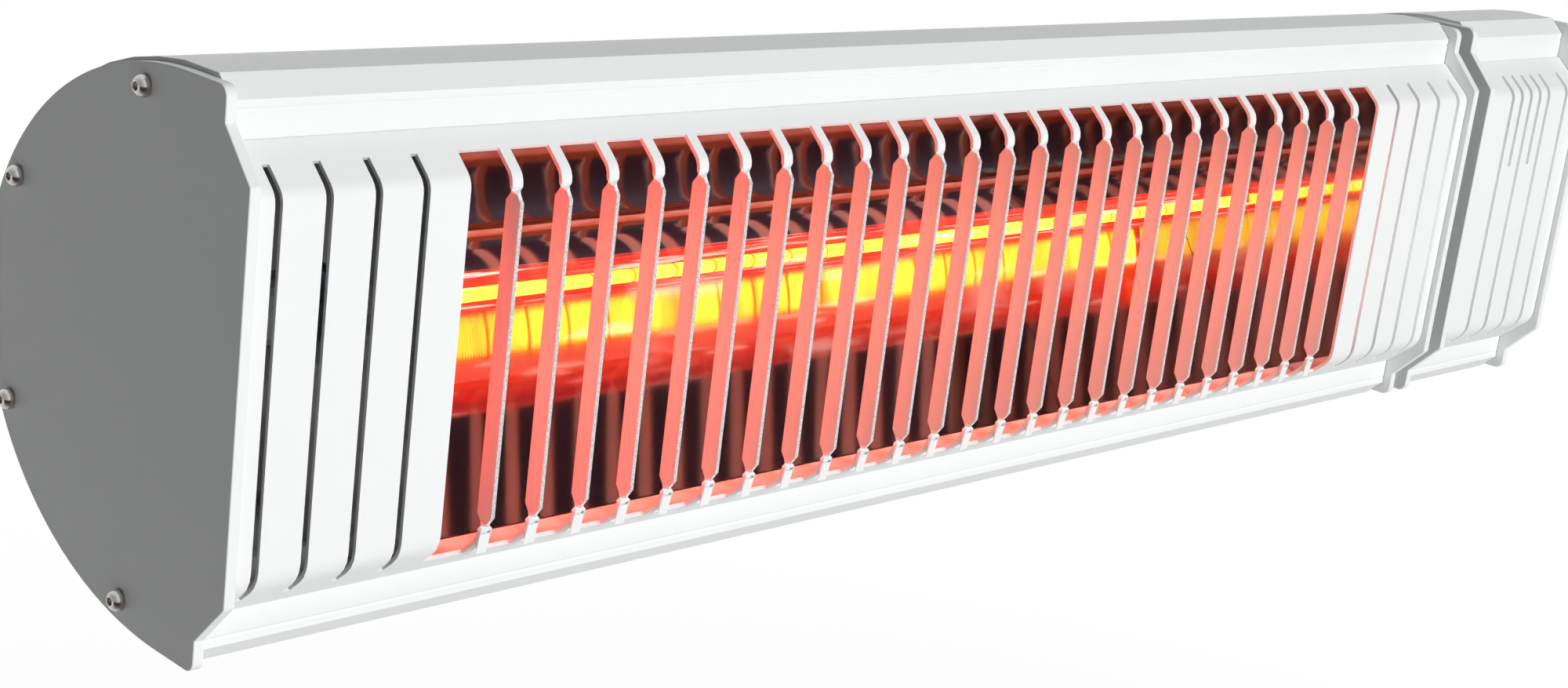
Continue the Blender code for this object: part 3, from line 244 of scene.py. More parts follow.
def ruby_quartz():
    """Drawn quartz, ruby coated: clear enough to see the coil through, lit red from inside in streaks, with a
    painted white highlight glowing on the streaks' crests.
    """
    made, tree, shader = finish("ruby_quartz", "C41410", 0.04)
    shader.inputs["IOR"].default_value = 1.46
    shader.inputs["Alpha"].default_value = 0.24
    shader.inputs["Emission Strength"].default_value = 4.0
    where = add(tree, "ShaderNodeTexCoord").outputs["Object"]
    drawn = add(
        tree,
        "ShaderNodeMapping",
        {"Scale": (1 / STREAK_LENGTH, 1 / STREAK_WIDTH, 1 / STREAK_WIDTH)},
        {"Vector": where},
    )
    streak = add(
        tree, "ShaderNodeTexNoise", {"Scale": 1.0, "Detail": 2.0}, {"Vector": drawn.outputs["Vector"]}
    )
    level = add(
        tree, "ShaderNodeMapRange", {"From Min": 0.40, "From Max": 0.66}, {"Value": streak.outputs["Fac"]}
    )
    glow = add(
        tree,
        "ShaderNodeMix",
        {"data_type": "RGBA", 6: from_hex("730603"), 7: from_hex("892C19")},
        {0: level.outputs["Result"]},
    )
    # Painted highlight: the noise's crests glow near white, in place of the shine of lights on the glass
    painted_highlight_crest = add(
        tree, "ShaderNodeMapRange", {"From Min": 0.64, "From Max": 0.67}, {"Value": streak.outputs["Fac"]}
    )
    lit = add(
        tree,
        "ShaderNodeMix",
        {"data_type": "RGBA", 7: from_hex("FFDCC8")},
        {0: painted_highlight_crest.outputs["Result"], 6: glow.outputs[2]},
    )
    tree.links.new(lit.outputs[2], shader.inputs["Emission Color"])
    return made


SUPPORT_PITCH = 17 * MM
SUPPORT_WIDTH = 0.8 * MM
HEAT_BAND = 14 * MM


def hot_tungsten():
    """Wound tungsten wire at work: its light hides every other colour, and it is cooler where it is held."""
    made, tree, shader = finish("hot_tungsten", "FFE060", 0.5)
    shader.inputs["Emission Strength"].default_value = 4.5
    where = add(tree, "ShaderNodeTexCoord").outputs["Object"]
    bands = add(tree, "ShaderNodeTexNoise", {"Scale": 1 / HEAT_BAND, "Detail": 2.0}, {"Vector": where})
    level = add(
        tree, "ShaderNodeMapRange", {"From Min": 0.36, "From Max": 0.56}, {"Value": bands.outputs["Fac"]}
    )
    heat = add(
        tree,
        "ShaderNodeMix",
        {"data_type": "RGBA", 6: from_hex("F09028"), 7: from_hex("FFE040")},
        {0: level.outputs["Result"]},
    )
    place = add(tree, "ShaderNodeSeparateXYZ", None, {"Vector": where})
    pitch = add(
        tree, "ShaderNodeMath", {"operation": "PINGPONG", 1: SUPPORT_PITCH / 2}, {0: place.outputs["X"]}
    )
    held = add(
        tree,
        "ShaderNodeMapRange",
        {"From Min": SUPPORT_WIDTH / 2, "From Max": SUPPORT_WIDTH},
        {"Value": pitch.outputs["Value"]},
    )
    cooled = add(
        tree,
        "ShaderNodeMix",
        {"data_type": "RGBA", 6: from_hex("B84A10")},
        {0: held.outputs["Result"], 7: heat.outputs[2]},
    )
    tree.links.new(cooled.outputs[2], shader.inputs["Emission Color"])
    return made


SPECK_WIDTH = 0.8 * MM
SPECK_HEIGHT = 0.03 * MM


def steatite():
    """Pressed and fired steatite: dry, off-white, with grey specks drawn coarse enough to show."""
    made, tree, shader = finish("steatite", "E6E1D6", 0.6)
    where = add(tree, "ShaderNodeTexCoord").outputs["Object"]
    grain = add(tree, "ShaderNodeTexNoise", {"Scale": 1 / SPECK_WIDTH, "Detail": 4.0}, {"Vector": where})
    speck = add(
        tree, "ShaderNodeMapRange", {"From Min": 0.35, "From Max": 0.55}, {"Value": grain.outputs["Fac"]}
    )
    tone = add(
        tree,
        "ShaderNodeMix",
        {"data_type": "RGBA", 6: from_hex("D3CDC1"), 7: from_hex("E9E5DB")},
        {0: speck.outputs["Result"]},
    )
    skin = add(tree, "ShaderNodeBump", {"Distance": SPECK_HEIGHT}, {"Height": grain.outputs["Fac"]})
    tree.links.new(tone.outputs[2], shader.inputs["Base Color"])
    tree.links.new(skin.outputs["Normal"], shader.inputs["Normal"])
    return made


MARK_WIDTH = 0.5 * MM


def stainless():
    """Cold-headed stainless steel: bright, with soft drawing marks, as wide as they need to be to show."""
    made, tree, shader = finish("stainless_steel", "C9C6C2", 0.22, 1.0)
    where = add(tree, "ShaderNodeTexCoord").outputs["Object"]
    marks = add(tree, "ShaderNodeTexNoise", {"Scale": 1 / MARK_WIDTH, "Detail": 2.0}, {"Vector": where})
    tone = add(
        tree,
        "ShaderNodeMix",
        {"data_type": "RGBA", 6: from_hex("BDB9B4"), 7: from_hex("D0CDC9")},
        {0: marks.outputs["Fac"]},
    )
    shine = add(tree, "ShaderNodeMapRange", {"To Min": 0.14, "To Max": 0.28}, {"Value": marks.outputs["Fac"]})
    tree.links.new(tone.outputs[2], shader.inputs["Base Color"])
    tree.links.new(shine.outputs["Result"], shader.inputs["Roughness"])
    return made


ZINC_CLOUD = 7 * MM


def zinc_plate():
    """Zinc plating on pressed steel: grey, faintly blue and cloudy."""
    made, tree, shader = finish("zinc_plate", "B4B8BB", 0.38, 1.0)
    where = add(tree, "ShaderNodeTexCoord").outputs["Object"]
    cloud = add(tree, "ShaderNodeTexNoise", {"Scale": 1 / ZINC_CLOUD, "Detail": 3.0}, {"Vector": where})
    tone = add(
        tree,
        "ShaderNodeMix",
        {"data_type": "RGBA", 6: from_hex("A6ABB0"), 7: from_hex("BFC3C5")},
        {0: cloud.outputs["Fac"]},
    )
    shine = add(tree, "ShaderNodeMapRange", {"To Min": 0.30, "To Max": 0.46}, {"Value": cloud.outputs["Fac"]})
    tree.links.new(tone.outputs[2], shader.inputs["Base Color"])
    tree.links.new(shine.outputs["Result"], shader.inputs["Roughness"])
    return made


BRAID_STRAND = 0.8 * MM
BRAID_HEIGHT = 0.05 * MM


def glass_sleeve():
    """Braided glass sleeve soaked in silicone: a fine criss-cross in dull beige."""
    made, tree, shader = finish("glass_sleeve", "C2B59C", 0.75)
    where = add(tree, "ShaderNodeTexCoord").outputs["Object"]
    braid = add(tree, "ShaderNodeTexChecker", {"Scale": 1 / BRAID_STRAND}, {"Vector": where})
    tone = add(
        tree,
        "ShaderNodeMix",
        {"data_type": "RGBA", 6: from_hex("B3A58B"), 7: from_hex("CEC2AB")},
        {0: braid.outputs["Fac"]},
    )
    skin = add(tree, "ShaderNodeBump", {"Distance": BRAID_HEIGHT}, {"Height": braid.outputs["Fac"]})
    tree.links.new(tone.outputs[2], shader.inputs["Base Color"])
    tree.links.new(skin.outputs["Normal"], shader.inputs["Normal"])
    return made


WEAVE_THREAD = 0.9 * MM


def circuit_laminate():
    """Glass-epoxy board under green resist, with its weave drawn a little coarse so that it shows."""
    made, tree, shader = finish("glass_epoxy_laminate", "1E5A32", 0.35)
    where = add(tree, "ShaderNodeTexCoord").outputs["Object"]
    weave = add(tree, "ShaderNodeTexChecker", {"Scale": 1 / WEAVE_THREAD}, {"Vector": where})
    tone = add(
        tree,
        "ShaderNodeMix",
        {"data_type": "RGBA", 6: from_hex("1B5430"), 7: from_hex("21603A")},
        {0: weave.outputs["Fac"]},
    )
    tree.links.new(tone.outputs[2], shader.inputs["Base Color"])
    return made


DIE_LINE_WIDTH = 1.0 * MM
DIE_LINE_LENGTH = 40 * MM


def plain_aluminium():
    """Extruded aluminium left as it comes from the die: die lines along its length."""
    made, tree, shader = finish("extruded_aluminium", "C6C8CA", 0.35, 1.0)
    where = add(tree, "ShaderNodeTexCoord").outputs["Object"]
    drawn = add(
        tree,
        "ShaderNodeMapping",
        {"Scale": (1 / DIE_LINE_WIDTH, 1 / DIE_LINE_WIDTH, 1 / DIE_LINE_LENGTH)},
        {"Vector": where},
    )
    lines = add(
        tree, "ShaderNodeTexNoise", {"Scale": 1.0, "Detail": 2.0}, {"Vector": drawn.outputs["Vector"]}
    )
    tone = add(
        tree,
        "ShaderNodeMix",
        {"data_type": "RGBA", 6: from_hex("BCBFC2"), 7: from_hex("CDCFD0")},
        {0: lines.outputs["Fac"]},
    )
    shine = add(tree, "ShaderNodeMapRange", {"To Min": 0.28, "To Max": 0.45}, {"Value": lines.outputs["Fac"]})
    tree.links.new(tone.outputs[2], shader.inputs["Base Color"])
    tree.links.new(shine.outputs["Result"], shader.inputs["Roughness"])
    return made


SPARK_WIDTH = 0.6 * MM
SPARK_HEIGHT = 0.03 * MM


def black_nylon():
    """Moulded nylon: black with the mould's spark grain, drawn coarser than life so that it shows."""
    made, tree, shader = finish("moulded_nylon_black", "1C1C1D", 0.5)
    where = add(tree, "ShaderNodeTexCoord").outputs["Object"]
    grain = add(tree, "ShaderNodeTexNoise", {"Scale": 1 / SPARK_WIDTH, "Detail": 2.0}, {"Vector": where})
    tone = add(
        tree,
        "ShaderNodeMix",
        {"data_type": "RGBA", 6: from_hex("181819"), 7: from_hex("222224")},
        {0: grain.outputs["Fac"]},
    )
    skin = add(tree, "ShaderNodeBump", {"Distance": SPARK_HEIGHT}, {"Height": grain.outputs["Fac"]})
    tree.links.new(tone.outputs[2], shader.inputs["Base Color"])
    tree.links.new(skin.outputs["Normal"], shader.inputs["Normal"])
    return made


WRINKLE_WIDTH = 3 * MM
WRINKLE_HEIGHT = 0.08 * MM


def shrink_sleeve():
    """Thin blue sleeve shrunk on the capacitor: glossy, with slight wrinkles."""
    made, tree, shader = finish("shrink_sleeve_blue", "20407A", 0.3)
    where = add(tree, "ShaderNodeTexCoord").outputs["Object"]
    wrinkle = add(tree, "ShaderNodeTexNoise", {"Scale": 1 / WRINKLE_WIDTH, "Detail": 1.0}, {"Vector": where})
    tone = add(
        tree,
        "ShaderNodeMix",
        {"data_type": "RGBA", 6: from_hex("1C3A70"), 7: from_hex("264A88")},
        {0: wrinkle.outputs["Fac"]},
    )
    skin = add(tree, "ShaderNodeBump", {"Distance": WRINKLE_HEIGHT}, {"Height": wrinkle.outputs["Fac"]})
    tree.links.new(tone.outputs[2], shader.inputs["Base Color"])
    tree.links.new(skin.outputs["Normal"], shader.inputs["Normal"])
    return made


finishes = {
    "white_powder_coat": powder_coat(),
    "bright_aluminium": reflector_aluminium(),
    "ruby_quartz": ruby_quartz(),
    "hot_tungsten": hot_tungsten(),
    "white_ceramic": steatite(),
    "stainless_steel": stainless(),
    "galvanised_steel": zinc_plate(),
    "silicone_sleeve": glass_sleeve(),
    "glass_laminate": circuit_laminate(),
    "plain_aluminium": plain_aluminium(),
    "black_nylon": black_nylon(),
    "blue_sleeve": shrink_sleeve(),
}

for part in frame["record"]["subparts"]:
    for slot in nodes[part["node"]].material_slots:
        slot.material = finishes[part["material_slot"]]


# Pieces


def piece(name, mesh, slot, body, *stands_for):
    """Puts a mesh on the object as a piece of its own, in one of the record's finishes."""
    made = bpy.data.objects.new(name, mesh)
    scene.collection.objects.link(made)
    mesh.materials.clear()
    mesh.materials.append(finishes[slot])
    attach(made, body)
    if stands_for:
        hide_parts(*stands_for)
    return made


def centre(node):
    """The middle of a node's box."""
    low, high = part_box(node)
    return (Vector(low) + Vector(high)) / 2


# Sheet metal and casings, with bends shaded smooth and edges broken by the coat


LIP_HEIGHT = 61.55 * MM
LIP_PLAY = 0.28 * MM
GROOVE_HEIGHT = 68.6 * MM
GROOVE_FILL = 0.5 * MM
STRIP_STRAY = -37.77 * MM
STRIP_BEND = -47.86 * MM
FLAT_WITHIN = radians(0.5)
BEND_LIMIT = radians(28)
CASING_EDGE = 0.1 * MM
SHEET_EDGE = 0.12 * MM
BRACKET_EDGE = 0.4 * MM
# A point this near a lip, or this near a groove or a bend, belongs to it
BY_LIP = 0.1 * MM
BY_LINE = 0.05 * MM


def close_lips(point):
    """A casing's lips close on the sheet, and the coat half fills the grooves in them."""
    if abs(abs(point.z) - LIP_HEIGHT) < BY_LIP:
        point.z -= LIP_PLAY if point.z > 0 else -LIP_PLAY
    elif abs(abs(point.z) - GROOVE_HEIGHT) < BY_LINE:
        point.y -= GROOVE_FILL


def seat_strips(point):
    """The sheet's offset throws the front of each strip's lower bend up the bar; it goes back to the bend."""
    if abs(point.z - STRIP_STRAY) < BY_LINE:
        point.z = STRIP_BEND


def with_soft_edges(name, node, slot, body, edge, mend=None):
    """The CAD solid's form with whole flat faces, smooth bends and edges rounded by the given width."""
    work = bmesh.new()
    work.from_mesh(nodes[node].data)
    if mend:
        for vertex in work.verts:
            mend(vertex.co)
    bmesh.ops.remove_doubles(work, verts=work.verts, dist=1e-6)
    bmesh.ops.dissolve_limit(work, angle_limit=FLAT_WITHIN, verts=work.verts, edges=work.edges)
    mesh = bpy.data.meshes.new(name)
    work.to_mesh(mesh)
    work.free()
    mesh.shade_smooth()
    mesh.set_sharp_from_angle(angle=BEND_LIMIT)
    made = piece(name, mesh, slot, body, node)
    rounding = made.modifiers.new("Broken edges", "BEVEL")
    rounding.width = edge
    rounding.segments = 2
    rounding.limit_method = "ANGLE"
    rounding.angle_limit = BEND_LIMIT
    rounding.harden_normals = True
    return made


with_soft_edges("housing_casing", "housing_shell", "white_powder_coat", "heater", CASING_EDGE, close_lips)
with_soft_edges(
    "control_casing", "control_housing_shell", "white_powder_coat", "heater", CASING_EDGE, close_lips
)
with_soft_edges("control_front_sheet", "control_front_panel", "white_powder_coat", "heater", SHEET_EDGE)
grille = with_soft_edges(
    "front_grille_sheet", "front_grille", "white_powder_coat", "heater", SHEET_EDGE, seat_strips
)
grille.data.materials[0] = powder_coat_over_lamp()
with_soft_edges("wall_plate_bracket", "wall_bracket", "white_powder_coat", "bracket", BRACKET_EDGE)


# End plates, laser cut, with smooth arcs and a coat-rounded edge

FRONT_DROP = 22.0 * MM
FRONT_CORNER = 1.2 * MM
CHAMFER_DEPTH = 12.1 * MM
CHAMFER_DROP = 9.1 * MM
CHAMFER_CORNER = 0.8 * MM
TOP_CORNER = 3.4 * MM
ROOF_DEPTH = 29.8 * MM
PLATE_EDGE = 0.35 * MM
CORNER_STEPS = 8
BACK_STEPS = 90
HOLE_STEPS = 32


def fillet(corners):
    """Turns (a, b, radius) corners of an open line into points, with an arc where the radius isn't 0."""
    points = []
    for i, (a, b, radius) in enumerate(corners):
        here = Vector((a, b))
        if radius == 0:
            points.append(here)
            continue
        before = (Vector(corners[i - 1][:2]) - here).normalized()
        after = (Vector(corners[i + 1][:2]) - here).normalized()
        half = before.angle(after) / 2
        middle = here + (before + after).normalized() * radius / sin(half)
        start = here + before * radius / tan(half) - middle
        sweep = start.angle_signed(here + after * radius / tan(half) - middle)
        for k in range(CORNER_STEPS + 1):
            points.append(middle + Matrix.Rotation(-sweep * k / CORNER_STEPS, 2) @ start)
    return points


def plate_outline(low, high):
    """The plate's edge in (y, z): flat front, chamfers, flat roofs and an elliptical back."""
    front = low[1]
    half = high[2]
    roof = front + ROOF_DEPTH
    upper = fillet(
        [
            (front, 0, 0),
            (front, half - FRONT_DROP, FRONT_CORNER),
            (front + CHAMFER_DEPTH, half - CHAMFER_DROP, CHAMFER_CORNER),
            (front + CHAMFER_DEPTH, half, TOP_CORNER),
            (roof, half, 0),
        ]
    )[1:]
    for k in range(1, BACK_STEPS):
        angle = pi / 2 * (1 - k / BACK_STEPS)
        upper.append(Vector((roof + (high[1] - roof) * cos(angle), half * sin(angle))))
    lower = [Vector((point.x, -point.y)) for point in reversed(upper)]
    return upper + [Vector((high[1], 0))] + lower


def outline_curve(name, loops, thickness, edge):
    """A flat sheet from closed (y, z) loops, the first its edge and the others its holes."""
    curve = bpy.data.curves.new(name, "CURVE")
    curve.dimensions = "2D"
    curve.fill_mode = "BOTH"
    curve.extrude = thickness / 2 - edge
    curve.bevel_depth = edge
    curve.bevel_resolution = 2
    curve.offset = -edge
    for loop in loops:
        spline = curve.splines.new("POLY")
        spline.points.add(len(loop) - 1)
        spline.use_cyclic_u = True
        for point, place in zip(spline.points, loop):
            point.co = (place[0], place[1], 0, 1)
    return curve


def ring(middle, radius):
    """The edge of a round hole in the plate, as points in (y, z)."""
    turns = [2 * pi * k / HOLE_STEPS for k in range(HOLE_STEPS)]
    return [(middle.y + radius * cos(turn), middle.z + radius * sin(turn)) for turn in turns]


SCREW_HOLE = 1.8 * MM
LINK_HOLE = 7.3 * MM


def end_plate(name, node, screws, links):
    """One end plate with its screw holes, and the holes of the nipples that link the modules."""
    low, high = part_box(node)
    loops = [plate_outline(low, high)]
    loops += [ring(centre(f"{screws}_screw_{k}"), SCREW_HOLE) for k in range(1, 5)]
    loops += [ring(centre(link), LINK_HOLE) for link in links]
    curve = outline_curve(name, loops, high[0] - low[0], PLATE_EDGE)
    flat = bpy.data.objects.new(name, curve)
    scene.collection.objects.link(flat)
    mesh = bpy.data.meshes.new_from_object(flat.evaluated_get(bpy.context.evaluated_depsgraph_get()))
    bpy.data.objects.remove(flat)
    middle_x = (low[0] + high[0]) / 2
    upright = Matrix(((0, 0, 1, middle_x), (1, 0, 0, 0), (0, 1, 0, 0), (0, 0, 0, 1)))
    work = bmesh.new()
    work.from_mesh(mesh)
    bmesh.ops.remove_doubles(work, verts=work.verts, dist=1e-6)
    bmesh.ops.transform(work, matrix=upright, verts=work.verts)
    bmesh.ops.recalc_face_normals(work, faces=work.faces)
    work.to_mesh(mesh)
    work.free()
    mesh.name = name
    mesh.shade_smooth()
    mesh.set_sharp_from_angle(angle=radians(12))
    return piece(name, mesh, "white_powder_coat", "heater", node)


link_nipples = ("link_nipple_upper", "link_nipple_lower")
end_plate("left_plate_sheet", "left_end_plate", "left_plate", ())
end_plate("right_plate_sheet", "right_end_plate", "right_plate", link_nipples)
end_plate("control_left_sheet", "control_left_plate", "control_left", link_nipples)
end_plate("control_right_sheet", "control_right_plate", "control_right", ())


# The reflector, rolled to a true curve so that what it mirrors is whole

REFLECTOR_SHEET = 0.8 * MM
REFLECTOR_FOCUS = 17.5 * MM
REFLECTOR_HALF = 61.07 * MM
RIM_DEPTH = 30.5 * MM
RIM_CURVE = 6
REFLECTOR_STEPS = 140


def rolled_reflector():
    """A parabola behind the lamp, bent in more towards its rims, and as thick as its sheet."""
    low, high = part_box("reflector")
    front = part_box("left_end_plate")[0][1]
    vertex = high[1] - REFLECTOR_SHEET
    rim = front + RIM_DEPTH
    half = REFLECTOR_HALF
    eased = rim - vertex + half**2 / (4 * REFLECTOR_FOCUS)
    face = []
    back = []
    for k in range(REFLECTOR_STEPS + 1):
        height = half * (1 - 2 * k / REFLECTOR_STEPS)
        depth = vertex - height**2 / (4 * REFLECTOR_FOCUS) + eased * (height / half) ** RIM_CURVE
        rim_slope = RIM_CURVE * eased * height ** (RIM_CURVE - 1) / half**RIM_CURVE
        slope = height / (2 * REFLECTOR_FOCUS) - rim_slope
        point = Vector((depth, height))
        outward = Vector((1, slope)).normalized()
        face.append(point)
        back.append(point + outward * REFLECTOR_SHEET)
    loop = face + back[::-1]
    work = bmesh.new()
    ends = [[work.verts.new((x, y, z)) for y, z in loop] for x in (low[0], high[0])]
    for k in range(len(loop)):
        n = (k + 1) % len(loop)
        work.faces.new((ends[0][k], ends[0][n], ends[1][n], ends[1][k]))
    count = len(loop)
    for end in ends:
        for k in range(REFLECTOR_STEPS):
            work.faces.new((end[k], end[k + 1], end[count - 2 - k], end[count - 1 - k]))
    bmesh.ops.recalc_face_normals(work, faces=work.faces)
    mesh = bpy.data.meshes.new("rolled_reflector")
    work.to_mesh(mesh)
    work.free()
    mesh.shade_smooth()
    mesh.set_sharp_from_angle(angle=radians(30))
    return mesh


piece("rolled_reflector", rolled_reflector(), "bright_aluminium", "heater", "reflector")


# Button heads with a hexagon socket, turned from rings whose inner ones are hexagons

HEAD_RADIUS = 3.0 * MM
HEAD_HEIGHT = 2.7 * MM
SOCKET_ACROSS = 1.1 * MM
SOCKET_FLOOR = 0.45 * HEAD_HEIGHT
SOCKET_MOUTH = 0.95 * HEAD_HEIGHT
SOCKET_LEAD = 1.1 * SOCKET_ACROSS
SOCKET_LIP = 0.99 * HEAD_HEIGHT
SHANK_RADIUS = 1.5 * MM
RIM_HEIGHT = 0.12 * MM
SEAT_RADIUS = 0.97 * HEAD_RADIUS
DOME_ANGLES = [radians(angle) for angle in (30, 42, 54, 64, 72, 79, 85)]
DOME_FULLNESS = 0.8
AROUND = 36


def hexagon_radius(angle, flat):
    """How far a hexagon's edge lies from its middle, when its flats lie the given distance from it."""
    return flat / cos((angle + pi / 6) % (pi / 3) - pi / 6)


def button_screw(name, face, side, low_end):
    """A screw with its head's underside at face, its head towards side and its shank's end at low_end."""
    rings = [(SOCKET_ACROSS, SOCKET_FLOOR, True), (SOCKET_ACROSS, SOCKET_MOUTH, True)]
    rings += [(SOCKET_LEAD, SOCKET_LIP, True)]
    for angle in DOME_ANGLES:
        drop = cos(angle) / cos(DOME_ANGLES[0])
        rings.append((HEAD_RADIUS * sin(angle), HEAD_HEIGHT * drop**DOME_FULLNESS, False))
    rings += [(HEAD_RADIUS, RIM_HEIGHT, False), (SEAT_RADIUS, 0, False)]
    rings += [(SHANK_RADIUS, 0, False), (SHANK_RADIUS, -low_end, False)]
    work = bmesh.new()
    loops = []
    for radius, height, is_hexagon in rings:
        loop = []
        for k in range(AROUND):
            angle = 2 * pi * k / AROUND
            reach = hexagon_radius(angle, radius) if is_hexagon else radius
            loop.append(work.verts.new((side * height, reach * cos(angle), reach * sin(angle))))
        loops.append(loop)
    for inner, outer in zip(loops, loops[1:]):
        for k in range(AROUND):
            n = (k + 1) % AROUND
            work.faces.new((inner[k], inner[n], outer[n], outer[k]))
    work.faces.new(loops[0])
    work.faces.new(loops[-1])
    bmesh.ops.recalc_face_normals(work, faces=work.faces)
    bmesh.ops.translate(work, verts=work.verts, vec=face)
    mesh = bpy.data.meshes.new(name)
    work.to_mesh(mesh)
    work.free()
    mesh.shade_smooth()
    mesh.set_sharp_from_angle(angle=radians(40))
    return mesh


for group, side in (("left_plate", -1), ("control_left", -1), ("right_plate", 1), ("control_right", 1)):
    for k in range(1, 5):
        node = f"{group}_screw_{k}"
        low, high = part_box(node)
        middle = centre(node)
        face_x = (low[0] + HEAD_HEIGHT) if side < 0 else (high[0] - HEAD_HEIGHT)
        shank = (high[0] - face_x) if side < 0 else (face_x - low[0])
        mesh = button_screw(f"button_{node}", Vector((face_x, middle.y, middle.z)), side, shank)
        piece(f"button_{node}", mesh, "stainless_steel", "heater", node)


# The lamp's coil, which hangs a little below its tube's middle

COIL_RADIUS = 1.75 * MM
COIL_PITCH = 1.1 * MM
COIL_WIRE = 0.42 * MM
COIL_SAG = 1.0 * MM
COIL_INSET = 12 * MM
TURN_STEPS = 10


def lamp_coil():
    """The wound wire, as a helix between the lamp's two ends."""
    low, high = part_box("lamp_filament")
    middle = centre("lamp_filament")
    hang = middle.z - COIL_SAG
    start = low[0] + COIL_INSET
    end = high[0] - COIL_INSET
    turns = int((end - start) / COIL_PITCH)
    curve = bpy.data.curves.new("lamp_coil", "CURVE")
    curve.dimensions = "3D"
    curve.bevel_depth = COIL_WIRE
    curve.bevel_resolution = 1
    curve.use_fill_caps = True
    spline = curve.splines.new("POLY")
    last = turns * TURN_STEPS
    spline.points.add(last)
    for k, point in enumerate(spline.points):
        angle = 2 * pi * turns * k / last
        x = start + (end - start) * k / last
        point.co = (x, middle.y + COIL_RADIUS * cos(angle), hang + COIL_RADIUS * sin(angle), 1)
    return curve


piece("lamp_coil", lamp_coil(), "hot_tungsten", "heater", "lamp_filament")


# Light

# The room in front and to the right is dark and warm, as the reflector shows; past the left end it is dim
DARK_ROOM = "4C3038"
FAR_ROOM = "75606E"


def studio_world():
    """White in view and faint as a lamp; metal sees a pale room behind and the dark one in front."""
    world = bpy.data.worlds.new("studio")
    world.use_nodes = True
    air = world.node_tree
    for node in list(air.nodes):
        air.nodes.remove(node)
    path = add(air, "ShaderNodeLightPath")
    direction = add(air, "ShaderNodeTexCoord").outputs["Generated"]
    sides = add(air, "ShaderNodeSeparateXYZ", None, {"Vector": direction})
    seen = add(
        air,
        "ShaderNodeMath",
        {"operation": "MAXIMUM"},
        {0: path.outputs["Is Glossy Ray"], 1: path.outputs["Is Transmission Ray"]},
    )
    behind = add(
        air, "ShaderNodeMapRange", {"From Min": -0.25, "From Max": 0.10}, {"Value": sides.outputs["Y"]}
    )
    leftward = add(
        air, "ShaderNodeMapRange", {"From Min": 0.05, "From Max": -0.15}, {"Value": sides.outputs["X"]}
    )
    pale = add(
        air,
        "ShaderNodeMath",
        {"operation": "MAXIMUM"},
        {0: behind.outputs["Result"], 1: leftward.outputs["Result"]},
    )
    beside = add(
        air,
        "ShaderNodeMapRange",
        {"From Min": -0.80, "From Max": -0.30, "To Min": 0.5, "To Max": 1.0},
        {"Value": sides.outputs["X"]},
    )
    walls = add(
        air,
        "ShaderNodeMix",
        {"data_type": "RGBA", 6: from_hex(FAR_ROOM), 7: from_hex("FFFFFF")},
        {0: pale.outputs["Value"]},
    )
    fill = add(air, "ShaderNodeBackground", {"Color": from_hex("FFFFFF"), "Strength": 0.04})
    room = add(
        air,
        "ShaderNodeBackground",
        None,
        {"Color": walls.outputs[2], "Strength": beside.outputs["Result"]},
    )
    white = add(air, "ShaderNodeBackground", {"Color": from_hex("FFFFFF"), "Strength": 1.0})
    in_metal = add(
        air,
        "ShaderNodeMixShader",
        None,
        {0: seen.outputs["Value"], 1: fill.outputs["Background"], 2: room.outputs["Background"]},
    )
    in_view = add(
        air,
        "ShaderNodeMixShader",
        None,
        {0: path.outputs["Is Camera Ray"], 1: in_metal.outputs["Shader"], 2: white.outputs["Background"]},
    )
    add(air, "ShaderNodeOutputWorld", None, {"Surface": in_view.outputs["Shader"]})
    return world


scene.world = studio_world()


def area_light(name, where, aim, size, size_y, power, colour="FFFFFF"):
    """A soft lamp that neither the camera nor the metal shows."""
    lamp = bpy.data.lights.new(name, "AREA")
    lamp.shape = "RECTANGLE"
    lamp.size = size
    lamp.size_y = size_y
    lamp.energy = power
    lamp.color = from_hex(colour)[:3]
    made = bpy.data.objects.new(name, lamp)
    made.location = where
    made.rotation_euler = (Vector(aim) - Vector(where)).to_track_quat("-Z", "Y").to_euler()
    made.visible_camera = False
    made.visible_glossy = False
    scene.collection.objects.link(made)
    return made


area_light("key", (0.05, -3.1, 1.1), (0, -0.1, 0), 1.0, 1.0, 87.5)
area_light("top", (0.6, -0.2, 2.4), (0.1, -0.1, 0), 2.0, 1.2, 0.8)
area_light("back", (0.7, 2.3, 0.5), (0, 0, 0), 1.6, 1.2, 34)


def shine_inside(name, where, aim, size, size_y, power, colour="FFFFFF"):
    """A light within the heater, which tilts with it."""
    made = area_light(name, where, aim, size, size_y, power, colour)
    made.parent = bodies["heater"]
    made.matrix_parent_inverse = bodies["heater"].matrix_world.inverted()
    return made


# Pale sheet all round makes the closed ends light inside, as their slots show
SLOT_LIGHT_DEPTH = 40 * MM
SLOT_LIGHT_TALL = 90 * MM
SLOT_LIGHT_SHARE = 0.95
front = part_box("left_end_plate")[0][1]
main_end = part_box("right_end_plate")[0][0]
module_low, module_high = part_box("control_housing_shell")
for name, left, right, power in (
    ("light_in_main_end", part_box("reflector_cheek_right")[1][0], main_end, 0.05),
    ("light_in_module", module_low[0], module_high[0], 0.03),
):
    start = Vector(((left + right) / 2, front + SLOT_LIGHT_DEPTH, 0))
    wide = (right - left) * SLOT_LIGHT_SHARE
    shine_inside(name, start, start - Vector((0, 1, 0)), wide, SLOT_LIGHT_TALL, power)


def glow(name, start, outward, lengthwise, length, width, power):
    """A strip of the lamp's red light at start, which faces outward."""
    made = shine_inside(name, start, start + outward, length, width, power, "FF3A28")
    axes = Matrix((lengthwise, (-outward).cross(lengthwise), -outward))
    made.rotation_euler = axes.transposed().to_euler()


